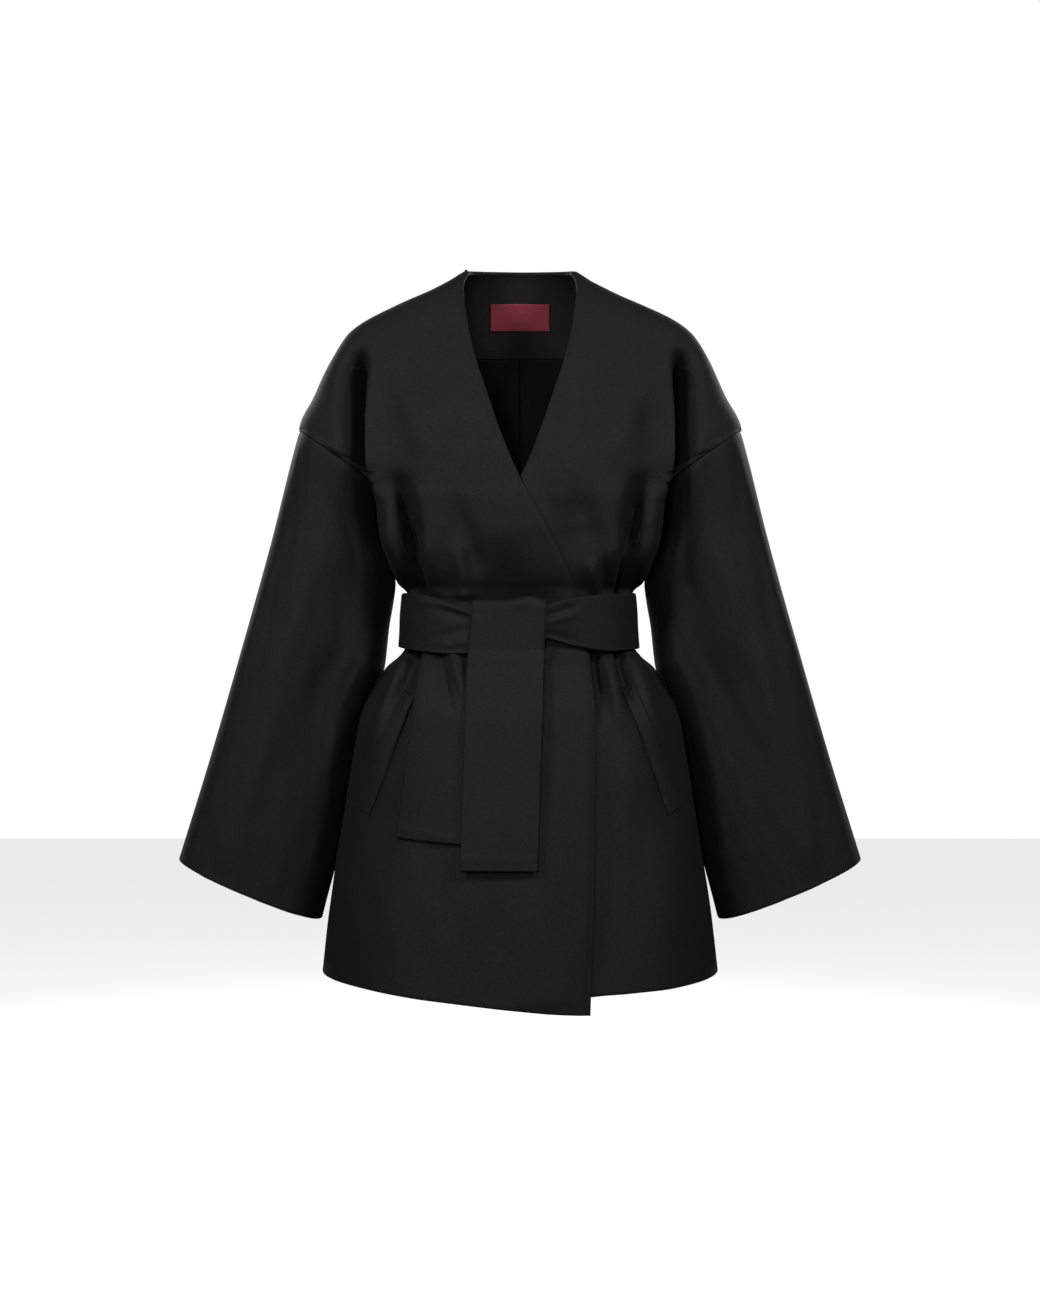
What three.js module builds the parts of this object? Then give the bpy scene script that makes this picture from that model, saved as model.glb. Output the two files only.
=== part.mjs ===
// Wrap coat with kimono sleeves and a tied belt, hollow and filled out as worn.
// Millimetres, +Z up, the front towards -Y and the wearer's right at -X.
// The origin is on the shoulder line, midway between the two sides of the neck.
import * as THREE from 'three';

// Walls of cloth, and the gaps that part the pieces
const COAT_WALL = 3;
const FACING_WALL = 2;
const LINING_WALL = 1;
const BELT_WALL = 4;
const WELT_WALL = 2.5;
const LABEL_WALL = 1;
const SEAM_GAP = 0.3;
const LAYER_GAP = 0.8;
const LAP_GAP = 2;

// Colours, and how dull each cloth is
const WOOL = 0x1b1c1f;
const LINING_BLACK = 0x111113;
const LABEL_RED = 0x5e1524;
const WOOL_ROUGHNESS = 0.95;
const LINING_ROUGHNESS = 0.5;
const LABEL_ROUGHNESS = 0.8;

// Number of strips that each piece is divided into
const FRONT_COLUMNS = 16;
const BACK_COLUMNS = 24;
const SLEEVE_COLUMNS = 24;
const BELT_COLUMNS = 48;
const TAIL_COLUMNS = 6;
const FACING_COLUMNS = 10;
const LABEL_COLUMNS = 8;
// Columns of the panels are this much closer together at the side than in the middle
const COLUMN_CROWDING = 1.2;
// A row is measured in this many short steps
const ROW_SAMPLES = 60;

// Level sections of the coat from the neck to the hem. Each gives half its width, its depth
// to the front and to the back, and how square its corners are (2 is an ellipse).
const SECTIONS = [
  { z: 4, half: 57, front: 15, back: 50, frontSquare: 2, backSquare: 2 },
  { z: -2, half: 68, front: 21, back: 55, frontSquare: 2, backSquare: 2 },
  { z: -11, half: 82, front: 28, back: 60, frontSquare: 2, backSquare: 2 },
  { z: -24, half: 107, front: 35, back: 66, frontSquare: 2, backSquare: 2 },
  { z: -38, half: 140, front: 41, back: 72, frontSquare: 2, backSquare: 2 },
  { z: -58, half: 179, front: 49, back: 80, frontSquare: 2, backSquare: 2 },
  { z: -71, half: 194, front: 54, back: 84, frontSquare: 2, backSquare: 2 },
  { z: -98, half: 210.6, front: 66, back: 92, frontSquare: 2.05, backSquare: 2.1 },
  { z: -138, half: 229, front: 80, back: 101, frontSquare: 2.15, backSquare: 2.2 },
  { z: -178.8, half: 246.4, front: 93, back: 107, frontSquare: 2.3, backSquare: 2.3 },
  { z: -210, half: 222, front: 102, back: 109, frontSquare: 2.9, backSquare: 2.4 },
  { z: -242, half: 177, front: 108, back: 109, frontSquare: 3.8, backSquare: 2.6 },
  { z: -262, half: 166, front: 111, back: 107, frontSquare: 4.2, backSquare: 2.6 },
  { z: -284, half: 159, front: 111, back: 104, frontSquare: 4.1, backSquare: 2.6 },
  { z: -311, half: 150, front: 108, back: 98, frontSquare: 3.6, backSquare: 2.5 },
  { z: -333, half: 139.5, front: 104, back: 93, frontSquare: 3, backSquare: 2.4 },
  { z: -348, half: 129.5, front: 100, back: 90, frontSquare: 2.6, backSquare: 2.3 },
  { z: -357, half: 124.5, front: 96.5, back: 87, frontSquare: 2.4, backSquare: 2.3 },
  { z: -390, half: 125, front: 93, back: 85, frontSquare: 2.4, backSquare: 2.3 },
  { z: -422, half: 129, front: 94, back: 87, frontSquare: 2.4, backSquare: 2.3 },
  { z: -431, half: 137, front: 98, back: 93, frontSquare: 2.4, backSquare: 2.3 },
  { z: -442, half: 150, front: 106, back: 101, frontSquare: 2.3, backSquare: 2.3 },
  { z: -459, half: 161, front: 113, back: 108, frontSquare: 2.3, backSquare: 2.3 },
  { z: -495, half: 178, front: 123, back: 117, frontSquare: 2.3, backSquare: 2.2 },
  { z: -553, half: 188, front: 132, back: 129, frontSquare: 2.3, backSquare: 2.2 },
  { z: -610, half: 197, front: 139, back: 139, frontSquare: 2.2, backSquare: 2.2 },
  { z: -657, half: 205, front: 144, back: 146, frontSquare: 2.2, backSquare: 2.2 },
  { z: -703, half: 212, front: 149, back: 152, frontSquare: 2.2, backSquare: 2.2 },
  { z: -779, half: 221, front: 156, back: 160, frontSquare: 2.2, backSquare: 2.2 },
  { z: -810, half: 224.5, front: 159, back: 163, frontSquare: 2.2, backSquare: 2.2 },
];

// The armhole of the dropped shoulder is a tilted ellipse from its outer top to the underarm
const ARMHOLE = { outX: 246.4, outZ: -178.8, inX: 156, inZ: -242, depth: 62 };

// Below the underarm the side seam is drawn in from the section's full width. There and along
// the armhole the cloth bends back to the seam within this distance of it.
const DRAWN_IN = [
  { z: -242, by: 21 },
  { z: -262, by: 7 },
  { z: -284, by: 1.5 },
  { z: -305, by: 0 },
];
const BEND_REACH = 32;
// Beside the seam the folds die away over this plan angle
const SEAM_EASE = 0.25;

// Free edge of the right front, which lies on top. The left front's edge mirrors it.
const FRONT_EDGE = [
  { z: 4, x: -56 },
  { z: -14.6, x: -63.4 },
  { z: -66, x: -57 },
  { z: -106, x: -47.7 },
  { z: -140, x: -36.7 },
  { z: -188.5, x: -20.3 },
  { z: -237.7, x: 0 },
  { z: -295, x: 31.9 },
  { z: -361, x: 62 },
  { z: -426, x: 77 },
  { z: -530, x: 82 },
  { z: -630, x: 79.4 },
  { z: -712, x: 76 },
  { z: -806, x: 71.5 },
];

// Heights of the rows of points down the fronts and the back
const SHOULDER_HEIGHTS = [3, -2, -8, -16, -26, -38, -54, -70, -86, -108, -130, -154, ARMHOLE.outZ];
const ARMHOLE_STEPS = 7;
const BODY_HEIGHTS = [
  -249, -260, -276, -294, -311, -328, -343, -352, -358, -390, -421, -427, -434, -443, -457, -476, -505,
  -550, -605, -665, -725, -779,
];

// How far the hems fall below the side seams, and the back neck rises over the sides. The right
// front falls from its side seam to its free edge, and the other two towards the middle.
const SIDE_HEM = -779;
const RIGHT_HEM_DROP = 27;
const RIGHT_DROP_FROM = -260;
const RIGHT_DROP_TO = 130;
const LEFT_HEM_DROP = 11;
const BACK_HEM_DROP = 4;
const HEM_HALF_WIDTH = 221;
const DROP_START = -500;
const BACK_NECK_RISE = 8;
const RISE_END = -60;

// The left front sinks under the right one, from this far past the right one's edge
const SINK_START = 40;
const SINK_FULL = 12;

// Folds and gathers: a line down the front or back, its depth outwards, the width of its
// flank, and the parts of its length over which it grows and dies away.
const FOLDS = [
  { face: 'front', x: -176, z: -86, toX: -172, toZ: -240, depth: -30, width: 15, grow: 0.4, fade: 0.15 },
  { face: 'front', x: 176, z: -86, toX: 172, toZ: -240, depth: -30, width: 15, grow: 0.4, fade: 0.15 },
  { face: 'front', x: -146, z: -130, toX: -140, toZ: -330, depth: 5, width: 16, grow: 0.5, fade: 0.3 },
  { face: 'front', x: 148, z: -130, toX: 142, toZ: -322, depth: 5, width: 16, grow: 0.5, fade: 0.3 },
  { face: 'front', x: -136, z: -238, toX: -120, toZ: -338, depth: -9, width: 14, grow: 0.5, fade: 0.5 },
  { face: 'front', x: 130, z: -234, toX: 110, toZ: -330, depth: -8, width: 13, grow: 0.5, fade: 0.5 },
  { face: 'front', x: -112, z: -284, toX: -96, toZ: -366, depth: -6, width: 9, grow: 0.6, fade: 0.1 },
  { face: 'front', x: 112, z: -284, toX: 103, toZ: -366, depth: -6, width: 9, grow: 0.6, fade: 0.1 },
  { face: 'front', x: -64, z: -305, toX: -60, toZ: -366, depth: 4, width: 13, grow: 0.6, fade: 0.1 },
  { face: 'front', x: -18, z: -300, toX: -16, toZ: -366, depth: -6, width: 17, grow: 0.6, fade: 0.1 },
  { face: 'front', x: -108, z: -415, toX: -127, toZ: -466, depth: -7, width: 10, grow: 0.1, fade: 0.6 },
  { face: 'front', x: -111, z: -415, toX: -168, toZ: -560, depth: 6, width: 13, grow: 0.1, fade: 0.7 },
  { face: 'front', x: -72, z: -415, toX: -78, toZ: -500, depth: -5, width: 12, grow: 0.1, fade: 0.7 },
  { face: 'front', x: 106, z: -415, toX: 115, toZ: -462, depth: -7, width: 9, grow: 0.1, fade: 0.6 },
  { face: 'front', x: 86, z: -415, toX: 112, toZ: -505, depth: 5, width: 10, grow: 0.1, fade: 0.7 },
  { face: 'front', x: 122, z: -415, toX: 150, toZ: -505, depth: 6, width: 11, grow: 0.1, fade: 0.7 },
  { face: 'back', x: -176, z: -110, toX: -160, toZ: -238, depth: -14, width: 20, grow: 0.7, fade: 0.3 },
  { face: 'back', x: 176, z: -110, toX: 160, toZ: -238, depth: -14, width: 20, grow: 0.7, fade: 0.3 },
  { face: 'back', x: -128, z: -262, toX: -98, toZ: -366, depth: -8, width: 12, grow: 0.6, fade: 0.1 },
  { face: 'back', x: -84, z: -285, toX: -70, toZ: -366, depth: 6, width: 13, grow: 0.6, fade: 0.1 },
  { face: 'back', x: -45, z: -270, toX: -40, toZ: -366, depth: -8, width: 13, grow: 0.6, fade: 0.1 },
  { face: 'back', x: -6, z: -295, toX: -5, toZ: -366, depth: 5, width: 14, grow: 0.6, fade: 0.1 },
  { face: 'back', x: 38, z: -278, toX: 32, toZ: -366, depth: -7, width: 12, grow: 0.6, fade: 0.1 },
  { face: 'back', x: 78, z: -290, toX: 66, toZ: -366, depth: 6, width: 12, grow: 0.6, fade: 0.1 },
  { face: 'back', x: 124, z: -256, toX: 96, toZ: -366, depth: -8, width: 13, grow: 0.6, fade: 0.1 },
  { face: 'back', x: -102, z: -415, toX: -132, toZ: -530, depth: -8, width: 13, grow: 0.1, fade: 0.7 },
  { face: 'back', x: -68, z: -415, toX: -84, toZ: -590, depth: 7, width: 15, grow: 0.1, fade: 0.7 },
  { face: 'back', x: -36, z: -415, toX: -42, toZ: -540, depth: -7, width: 14, grow: 0.1, fade: 0.7 },
  { face: 'back', x: 2, z: -415, toX: 4, toZ: -580, depth: 6, width: 16, grow: 0.1, fade: 0.7 },
  { face: 'back', x: 40, z: -415, toX: 50, toZ: -525, depth: -8, width: 13, grow: 0.1, fade: 0.7 },
  { face: 'back', x: 72, z: -415, toX: 90, toZ: -600, depth: 6, width: 15, grow: 0.1, fade: 0.7 },
  { face: 'back', x: 104, z: -415, toX: 134, toZ: -540, depth: -7, width: 13, grow: 0.1, fade: 0.7 },
];

// The belt presses every fold flat between these heights
const FLAT_TOP = -357;
const FLAT_BOTTOM = -426;
const FLAT_EASE = 12;

// Outer edge of the sleeve from the armhole to the hem, and its inner edge beside the body
const SLEEVE_OUTER = [
  { z: -178.8, x: 246.4 },
  { z: -206, x: 253.7 },
  { z: -300, x: 277 },
  { z: -421, x: 310.5 },
  { z: -542, x: 345.5 },
  { z: -656, x: 380.8 },
];
const SLEEVE_INNER = [
  { z: -242, x: 156.6 },
  { z: -262, x: 160.5 },
  { z: -284, x: 159.5 },
  { z: -311, x: 151.5 },
  { z: -333, x: 142.5 },
  { z: -348, x: 141 },
  { z: -369, x: 143.5 },
  { z: -395, x: 148 },
  { z: -442, x: 153.5 },
  { z: -726, x: 224 },
];
// The sleeve stays this far off the body, from just below the armhole
const SLEEVE_CLEARANCE = 1.2;
const CLEARANCE_EASE = 0.1;
const SLEEVE_HEIGHTS = [0, 0.035, 0.08, 0.13, 0.18, 0.24, 0.31, 0.39, 0.45, 0.52, 0.61, 0.73, 0.86, 1];

// Along the sleeve: its half depth, how far its inner edge leans back, and its squareness
const SLEEVE_FORM = [
  { along: 0, depth: 62, lean: 0, square: 2 },
  { along: 0.2, depth: 61, lean: 24, square: 2.3 },
  { along: 0.45, depth: 60, lean: 27, square: 2.4 },
  { along: 1, depth: 64, lean: 22, square: 2.2 },
];

// Upper and lower edge of the belt across the front; round the sides and back they are level.
// The width of the waist is taken at its middle height.
const BELT_MIDDLE = -390;
const BELT_TOP = -359;
const BELT_BOTTOM = -420;
const BELT_EDGES = [
  { x: -131, top: -359, bottom: -419 },
  { x: -101, top: -363, bottom: -424 },
  { x: -72, top: -372, bottom: -427 },
  { x: -52, top: -380, bottom: -427 },
  { x: -12, top: -382, bottom: -420 },
  { x: 27, top: -376.5, bottom: -411 },
  { x: 31, top: -374, bottom: -411.5 },
  { x: 53, top: -367.5, bottom: -418.5 },
  { x: 93, top: -362.5, bottom: -424.5 },
  { x: 131, top: -359, bottom: -421 },
];
const BELT_ROWS = 3;
const BELT_BULGE = 1;
// How far the two ends of the band run round the front from the sides, in degrees, to where
// they lie hidden under the front tail
const BAND_ENDS = { right: 87, left: 83 };
// Room that the band leaves at the front for the two tails behind it
const TAIL_ROOM = 6.6;
const TAIL_ROOM_LEFT = -122;
const TAIL_ROOM_RIGHT = 42;
const TAIL_ROOM_EASE = 20;

// The front tail comes up behind the band, folds over its top edge and hangs down in front.
// A row gives the distance of its middle layer off the coat and its two side edges.
const FRONT_TAIL = [
  { z: -392, off: 3, left: -51, right: 27.5 },
  { z: -379, off: 3, left: -51, right: 27.5 },
  { z: -373.8, off: 4.6, left: -51, right: 27.5 },
  { z: -371.6, off: 8.8, left: -51, right: 27.5 },
  { z: -373.8, off: 13, left: -51, right: 27.5 },
  { z: -379, off: 14.6, left: -51, right: 27.5 },
  { z: -400, off: 14.8, left: -54, right: 27 },
  { z: -428, off: 14.2, left: -56, right: 26 },
  { z: -458, off: 12.6, left: -57.5, right: 25 },
  { z: -495, off: 11.4, left: -58.5, right: 24 },
  { z: -545, off: 10, left: -60, right: 22 },
  { z: -600, off: 9.4, left: -61.5, right: 20.5 },
  { z: -654, off: 9.2, left: -63, right: 18.6 },
];
// The rear tail comes out under the band and hangs behind the front tail
const REAR_TAIL = [
  { z: -404, off: 4.2, left: -104, right: -26 },
  { z: -426, off: 4.2, left: -106, right: -28 },
  { z: -446, off: 4.6, left: -109.5, right: -31 },
  { z: -470, off: 6.4, left: -113, right: -34.5 },
  { z: -495, off: 6, left: -116, right: -37.5 },
  { z: -520, off: 4.4, left: -119, right: -40 },
  { z: -565, off: 3.6, left: -124.5, right: -45.5 },
  { z: -622, off: 3.4, left: -132, right: -52 },
];
const REAR_TAIL_SLOPE = 6;

// Pocket welts: the opening edge and the sewn edge at the top, middle and bottom
const WELTS = {
  right: [
    { z: -467, open: -126, sewn: -112.5 },
    { z: -530, open: -150.5, sewn: -137 },
    { z: -592, open: -174.5, sewn: -161.5 },
  ],
  left: [
    { z: -459, open: 122.5, sewn: 111 },
    { z: -525, open: 147, sewn: 134.5 },
    { z: -592, open: 171, sewn: 159 },
  ],
};
const WELT_ROWS = 8;
const WELT_END_SLOPE = 8;

// Back neck facing and lining, on the inside of the back
const FACING_HEIGHTS = [1, -5, -12, -22, -36, -52, -68, -85.2];
// Its lower edge, on which the lining starts, sags towards the middle over its last few rows
const FACING_SAG = 4;
const SAG_START = -56;
// Half its width, which narrows from a height down to the lining
const FACING_REACH = 104;
const FACING_TAPER = 14;
const TAPER_START = -40;
const RIDGE_ROOM = 1;
const LINING_TOP = -86;
const LINING_BOTTOM = -328;
const LABEL_WIDTH = 70;
const LABEL_TOP = -28;
const LABEL_BOTTOM = -56;

function smooth(from, to, value) {
  const part = Math.min(1, Math.max(0, (value - from) / (to - from)));
  return part * part * (3 - 2 * part);
}

function mix(from, to, part) {
  return from + (to - from) * part;
}

function signedPower(value, power) {
  return Math.sign(value) * Math.abs(value) ** power;
}

// Reads one column of a table as a smooth curve that never overshoots its rows
function readColumn(table, column, along, at) {
  const last = table.length - 1;
  const rising = table[last][along] > table[0][along] ? 1 : -1;
  let row = 0;
  while (row < last - 1 && rising * (at - table[row + 1][along]) > 0) {
    row += 1;
  }
  const slope = (index) => {
    const step = table[index + 1][along] - table[index][along];
    return (table[index + 1][column] - table[index][column]) / step;
  };
  const tangent = (index) => {
    if (index === 0) {
      return slope(0);
    }
    if (index === last) {
      return slope(last - 1);
    }
    const before = slope(index - 1);
    const after = slope(index);
    return before * after <= 0 ? 0 : (2 * before * after) / (before + after);
  };
  const step = table[row + 1][along] - table[row][along];
  const part = Math.min(1, Math.max(0, (at - table[row][along]) / step));
  const square = part * part;
  const cube = square * part;
  return (
    (2 * cube - 3 * square + 1) * table[row][column] +
    (cube - 2 * square + part) * step * tangent(row) +
    (3 * square - 2 * cube) * table[row + 1][column] +
    (cube - square) * step * tangent(row + 1)
  );
}

// A closed wall between two grids of points, with its faces turned outwards
function wall(name, outer, inner, material, round = false) {
  const rows = outer.length;
  const columns = outer[0].length;
  const points = [...outer.flat(), ...inner.flat()];
  const inside = rows * columns;
  const faces = [];
  // Each four-sided face is split along its shorter diagonal
  const quad = (a, b, c, d) => {
    if (points[a].distanceTo(points[c]) <= points[b].distanceTo(points[d])) {
      faces.push([a, b, c], [a, c, d]);
    } else {
      faces.push([a, b, d], [b, c, d]);
    }
  };
  const spans = round ? columns : columns - 1;
  for (let row = 0; row < rows - 1; row += 1) {
    for (let column = 0; column < spans; column += 1) {
      const a = row * columns + column;
      const b = row * columns + ((column + 1) % columns);
      quad(a, b, b + columns, a + columns);
      quad(inside + a, inside + a + columns, inside + b + columns, inside + b);
    }
  }
  for (let column = 0; column < spans; column += 1) {
    const top = column;
    const topNext = (column + 1) % columns;
    const low = (rows - 1) * columns;
    quad(topNext, top, inside + top, inside + topNext);
    quad(low + top, low + topNext, inside + low + topNext, inside + low + top);
  }
  if (!round) {
    for (let row = 0; row < rows - 1; row += 1) {
      const start = row * columns;
      const end = start + columns - 1;
      quad(start, start + columns, inside + start + columns, inside + start);
      quad(end + columns, end, inside + end, inside + end + columns);
    }
  }
  let volume = 0;
  for (const [a, b, c] of faces) {
    volume += points[a].dot(points[b].clone().cross(points[c]));
  }
  const indices = faces.flatMap(([a, b, c]) => (volume > 0 ? [a, b, c] : [a, c, b]));
  const geometry = new THREE.BufferGeometry();
  const coordinates = points.flatMap((point) => point.toArray());
  geometry.setAttribute('position', new THREE.Float32BufferAttribute(coordinates, 3));
  geometry.setIndex(indices);
  geometry.computeVertexNormals();
  const mesh = new THREE.Mesh(geometry, material);
  mesh.name = name;
  return mesh;
}

// Direction square to the plane of an armhole, pointing from the sleeve to the body
function armholeAxis(side) {
  const across = new THREE.Vector3(ARMHOLE.outX - ARMHOLE.inX, 0, ARMHOLE.outZ - ARMHOLE.inZ).normalize();
  return new THREE.Vector3(-side * across.z, 0, across.x);
}

// At the armhole both walls end in its plane, so their thickness is laid in that plane
function layInArmhole(normal, side) {
  const axis = armholeAxis(side);
  normal.addScaledVector(axis, -normal.dot(axis));
}

function cloth(color, roughness) {
  return new THREE.MeshStandardMaterial({ color, roughness, metalness: 0 });
}

// Point of the armhole seam at a height: how far out it lies, and how far to front and back
function armholeAt(z) {
  const middle = (ARMHOLE.outZ + ARMHOLE.inZ) / 2;
  const turn = Math.min(1, Math.max(-1, (z - middle) / (ARMHOLE.outZ - middle)));
  const halfWidth = (ARMHOLE.outX - ARMHOLE.inX) / 2;
  return { x: ARMHOLE.inX + halfWidth * (1 + turn), y: ARMHOLE.depth * Math.sqrt(1 - turn * turn) };
}

// Curve of a level section on one face: its size, the plan angle at which it starts at the
// side, how far the cloth is pulled forward or back there to meet the seam, and the length
// that the armhole cuts off the row
const contours = new Map();
function contour(face, z) {
  const key = `${face} ${z}`;
  if (!contours.has(key)) {
    const depth = readColumn(SECTIONS, face, 'z', z);
    const square = readColumn(SECTIONS, `${face}Square`, 'z', z);
    const half = readColumn(SECTIONS, 'half', 'z', z);
    const curve = { half, depth, square, start: 0, end: half, startForward: 0, pull: 0, cutAway: 0 };
    if (z < ARMHOLE.outZ) {
      const drawnIn = { x: half - readColumn(DRAWN_IN, 'by', 'z', z), y: 0 };
      const seam = z > ARMHOLE.inZ ? armholeAt(z) : drawnIn;
      curve.start = Math.acos(Math.min(1, seam.x / half) ** (square / 2));
      curve.end = seam.x;
      curve.startForward = depth * Math.sin(curve.start) ** (2 / square);
      curve.pull = seam.y - curve.startForward;
      curve.cutAway = seam.y;
    }
    contours.set(key, curve);
  }
  return contours.get(key);
}

// Plan angle at which a section is a given distance out from the middle
function angleAt(curve, distance) {
  return Math.acos(signedPower(Math.min(1, distance / curve.half), curve.square / 2));
}

function foldDepth(face, x, z) {
  let depth = 0;
  for (const fold of FOLDS) {
    const along = (fold.z - z) / (fold.z - fold.toZ);
    if (fold.face === face && along > 0 && along < 1) {
      const across = (x - mix(fold.x, fold.toX, along)) / fold.width;
      const strength = smooth(0, fold.grow, along) * (1 - smooth(1 - fold.fade, 1, along));
      depth += fold.depth * strength * Math.exp(-across * across);
    }
  }
  const above = smooth(FLAT_TOP, FLAT_TOP + FLAT_EASE, z);
  const below = smooth(FLAT_BOTTOM, FLAT_BOTTOM - FLAT_EASE, z);
  return depth * (above + below);
}

function frontEdge(z) {
  return readColumn(FRONT_EDGE, 'x', 'z', z);
}

// How far each panel's own lower edge hangs below the level section
const hemDrop = {
  front_right: (x) => RIGHT_HEM_DROP * smooth(RIGHT_DROP_FROM, RIGHT_DROP_TO, x),
  front_left: (x) => LEFT_HEM_DROP * (1 - Math.abs(x) / HEM_HALF_WIDTH),
  back: (x) => BACK_HEM_DROP * (1 - Math.abs(x) / HEM_HALF_WIDTH),
};

// Outer surface of a panel at a plan angle from its side and the height of its row
function panelPoint(panel, side, angle, rowHeight) {
  const face = panel === 'back' ? 'back' : 'front';
  const level = contour(face, rowHeight);
  const levelX = side * level.half * signedPower(Math.cos(angle), 2 / level.square);
  const z = rowHeight - hemDrop[panel](levelX) * smooth(DROP_START, SIDE_HEM, rowHeight);
  const curve = contour(face, z);
  const across = signedPower(Math.cos(angle), 2 / curve.square);
  const forward = signedPower(Math.sin(angle), 2 / curve.square);
  const faceSign = face === 'back' ? 1 : -1;
  const x = side * curve.half * across;
  const fromSeam = Math.hypot(curve.half * across - curve.end, curve.depth * forward - curve.startForward);
  const pull = curve.pull * Math.max(0, 1 - fromSeam / BEND_REACH) ** 2;
  const y = faceSign * (curve.depth * forward + pull);
  const normal = new THREE.Vector2(
    (side * signedPower(across, curve.square - 1)) / curve.half,
    (faceSign * signedPower(forward, curve.square - 1)) / curve.depth,
  ).normalize();
  let out = foldDepth(face, x, z) * smooth(0, SEAM_EASE, angle - curve.start);
  if (panel === 'front_left') {
    out -= (COAT_WALL + LAP_GAP) * (1 - smooth(SINK_FULL, SINK_START, x - frontEdge(z)));
  }
  const rise = panel === 'back' ? BACK_NECK_RISE * Math.sin(angle) ** 2 * smooth(RISE_END, 0, z) : 0;
  return new THREE.Vector3(x + normal.x * out, y + normal.y * out, z + rise);
}

// The same surface moved out along its own normal, or in where the distance is negative
function panelOffset(panel, side, angle, z, distance) {
  const turn = 0.002;
  const step = 0.4;
  const upStep = z <= ARMHOLE.inZ ? 0 : step;
  const downStep = z >= ARMHOLE.outZ && z < 0 ? 0 : step;
  const across = panelPoint(panel, side, angle + turn, z).sub(panelPoint(panel, side, angle - turn, z));
  const down = panelPoint(panel, side, angle, z - downStep).sub(panelPoint(panel, side, angle, z + upStep));
  const point = panelPoint(panel, side, angle, z);
  const normal = across.cross(down);
  if (Math.abs(point.y) < SEAM_GAP) {
    normal.y = 0;
  }
  const seamPoint = new THREE.Vector3(side * ARMHOLE.inX, 0, ARMHOLE.inZ);
  const fromPlane = Math.abs(point.clone().sub(seamPoint).dot(armholeAxis(side)));
  if (z <= ARMHOLE.outZ && z >= ARMHOLE.inZ && fromPlane < SEAM_GAP) {
    layInArmhole(normal, side);
  }
  normal.normalize();
  const facing = panel === 'back' ? 1 : -1;
  if (normal.x * side * Math.cos(angle) + normal.y * facing * Math.sin(angle) < 0) {
    normal.negate();
  }
  return point.addScaledVector(normal, distance);
}

// Plan angles of the columns in one row, closer together near the side. The columns run on
// evenly past the armhole, which crowds only the outer ones.
function rowAngles(panel, side, z, from, to, columns, crowding) {
  const angles = [];
  const lengths = [0];
  let before = panelPoint(panel, side, from, z);
  for (let sample = 0; sample <= ROW_SAMPLES; sample += 1) {
    angles.push(mix(from, to, sample / ROW_SAMPLES));
    const point = panelPoint(panel, side, angles[sample], z);
    if (sample > 0) {
      lengths.push(lengths[sample - 1] + point.distanceTo(before));
    }
    before = point;
  }
  const whole = lengths[ROW_SAMPLES];
  const free = whole - SEAM_GAP / 2;
  const { cutAway } = contour(panel === 'back' ? 'back' : 'front', z);
  return Array.from({ length: columns + 1 }, (_, column) => {
    const inward = 1 - (column / columns) ** crowding;
    const target = whole - (free + cutAway) * inward + cutAway * inward ** 4;
    let sample = 0;
    while (sample < ROW_SAMPLES - 1 && lengths[sample + 1] < target) {
      sample += 1;
    }
    const part = (target - lengths[sample]) / (lengths[sample + 1] - lengths[sample]);
    return mix(angles[sample], angles[sample + 1], part);
  });
}

function coatHeights() {
  const middle = (ARMHOLE.outZ + ARMHOLE.inZ) / 2;
  const reach = (ARMHOLE.outZ - ARMHOLE.inZ) / 2;
  const armhole = Array.from(
    { length: ARMHOLE_STEPS },
    (_, step) => middle + reach * Math.cos((Math.PI * (step + 1)) / ARMHOLE_STEPS),
  );
  return [...SHOULDER_HEIGHTS, ...armhole, ...BODY_HEIGHTS];
}

function makeFront(panel, side, material) {
  const rows = coatHeights().map((z) => {
    const curve = contour('front', z);
    const edge = angleAt(curve, frontEdge(z) * -1);
    return { z, angles: rowAngles(panel, side, z, curve.start, edge, FRONT_COLUMNS, COLUMN_CROWDING) };
  });
  const layer = (distance) =>
    rows.map(({ z, angles }) => angles.map((angle) => panelOffset(panel, side, angle, z, distance)));
  return wall(panel, layer(0), layer(-COAT_WALL), material);
}

// One row across the whole back: plan angles on the wearer's right, then on the left
function backRow(z, from, to, columns, crowding) {
  const half = rowAngles('back', 1, z, from, to, columns, crowding);
  return [
    ...half.map((angle) => ({ side: -1, angle })),
    ...half.slice(0, -1).reverse().map((angle) => ({ side: 1, angle })),
  ];
}

function makeBack(material) {
  const rows = coatHeights().map((z) => {
    const start = contour('back', z).start;
    return { z, places: backRow(z, start, Math.PI / 2, BACK_COLUMNS / 2, COLUMN_CROWDING) };
  });
  const layer = (distance) =>
    rows.map(({ z, places }) =>
      places.map(({ side, angle }) => panelOffset('back', side, angle, z, distance)),
    );
  return wall('back', layer(0), layer(-COAT_WALL), material);
}

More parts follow.
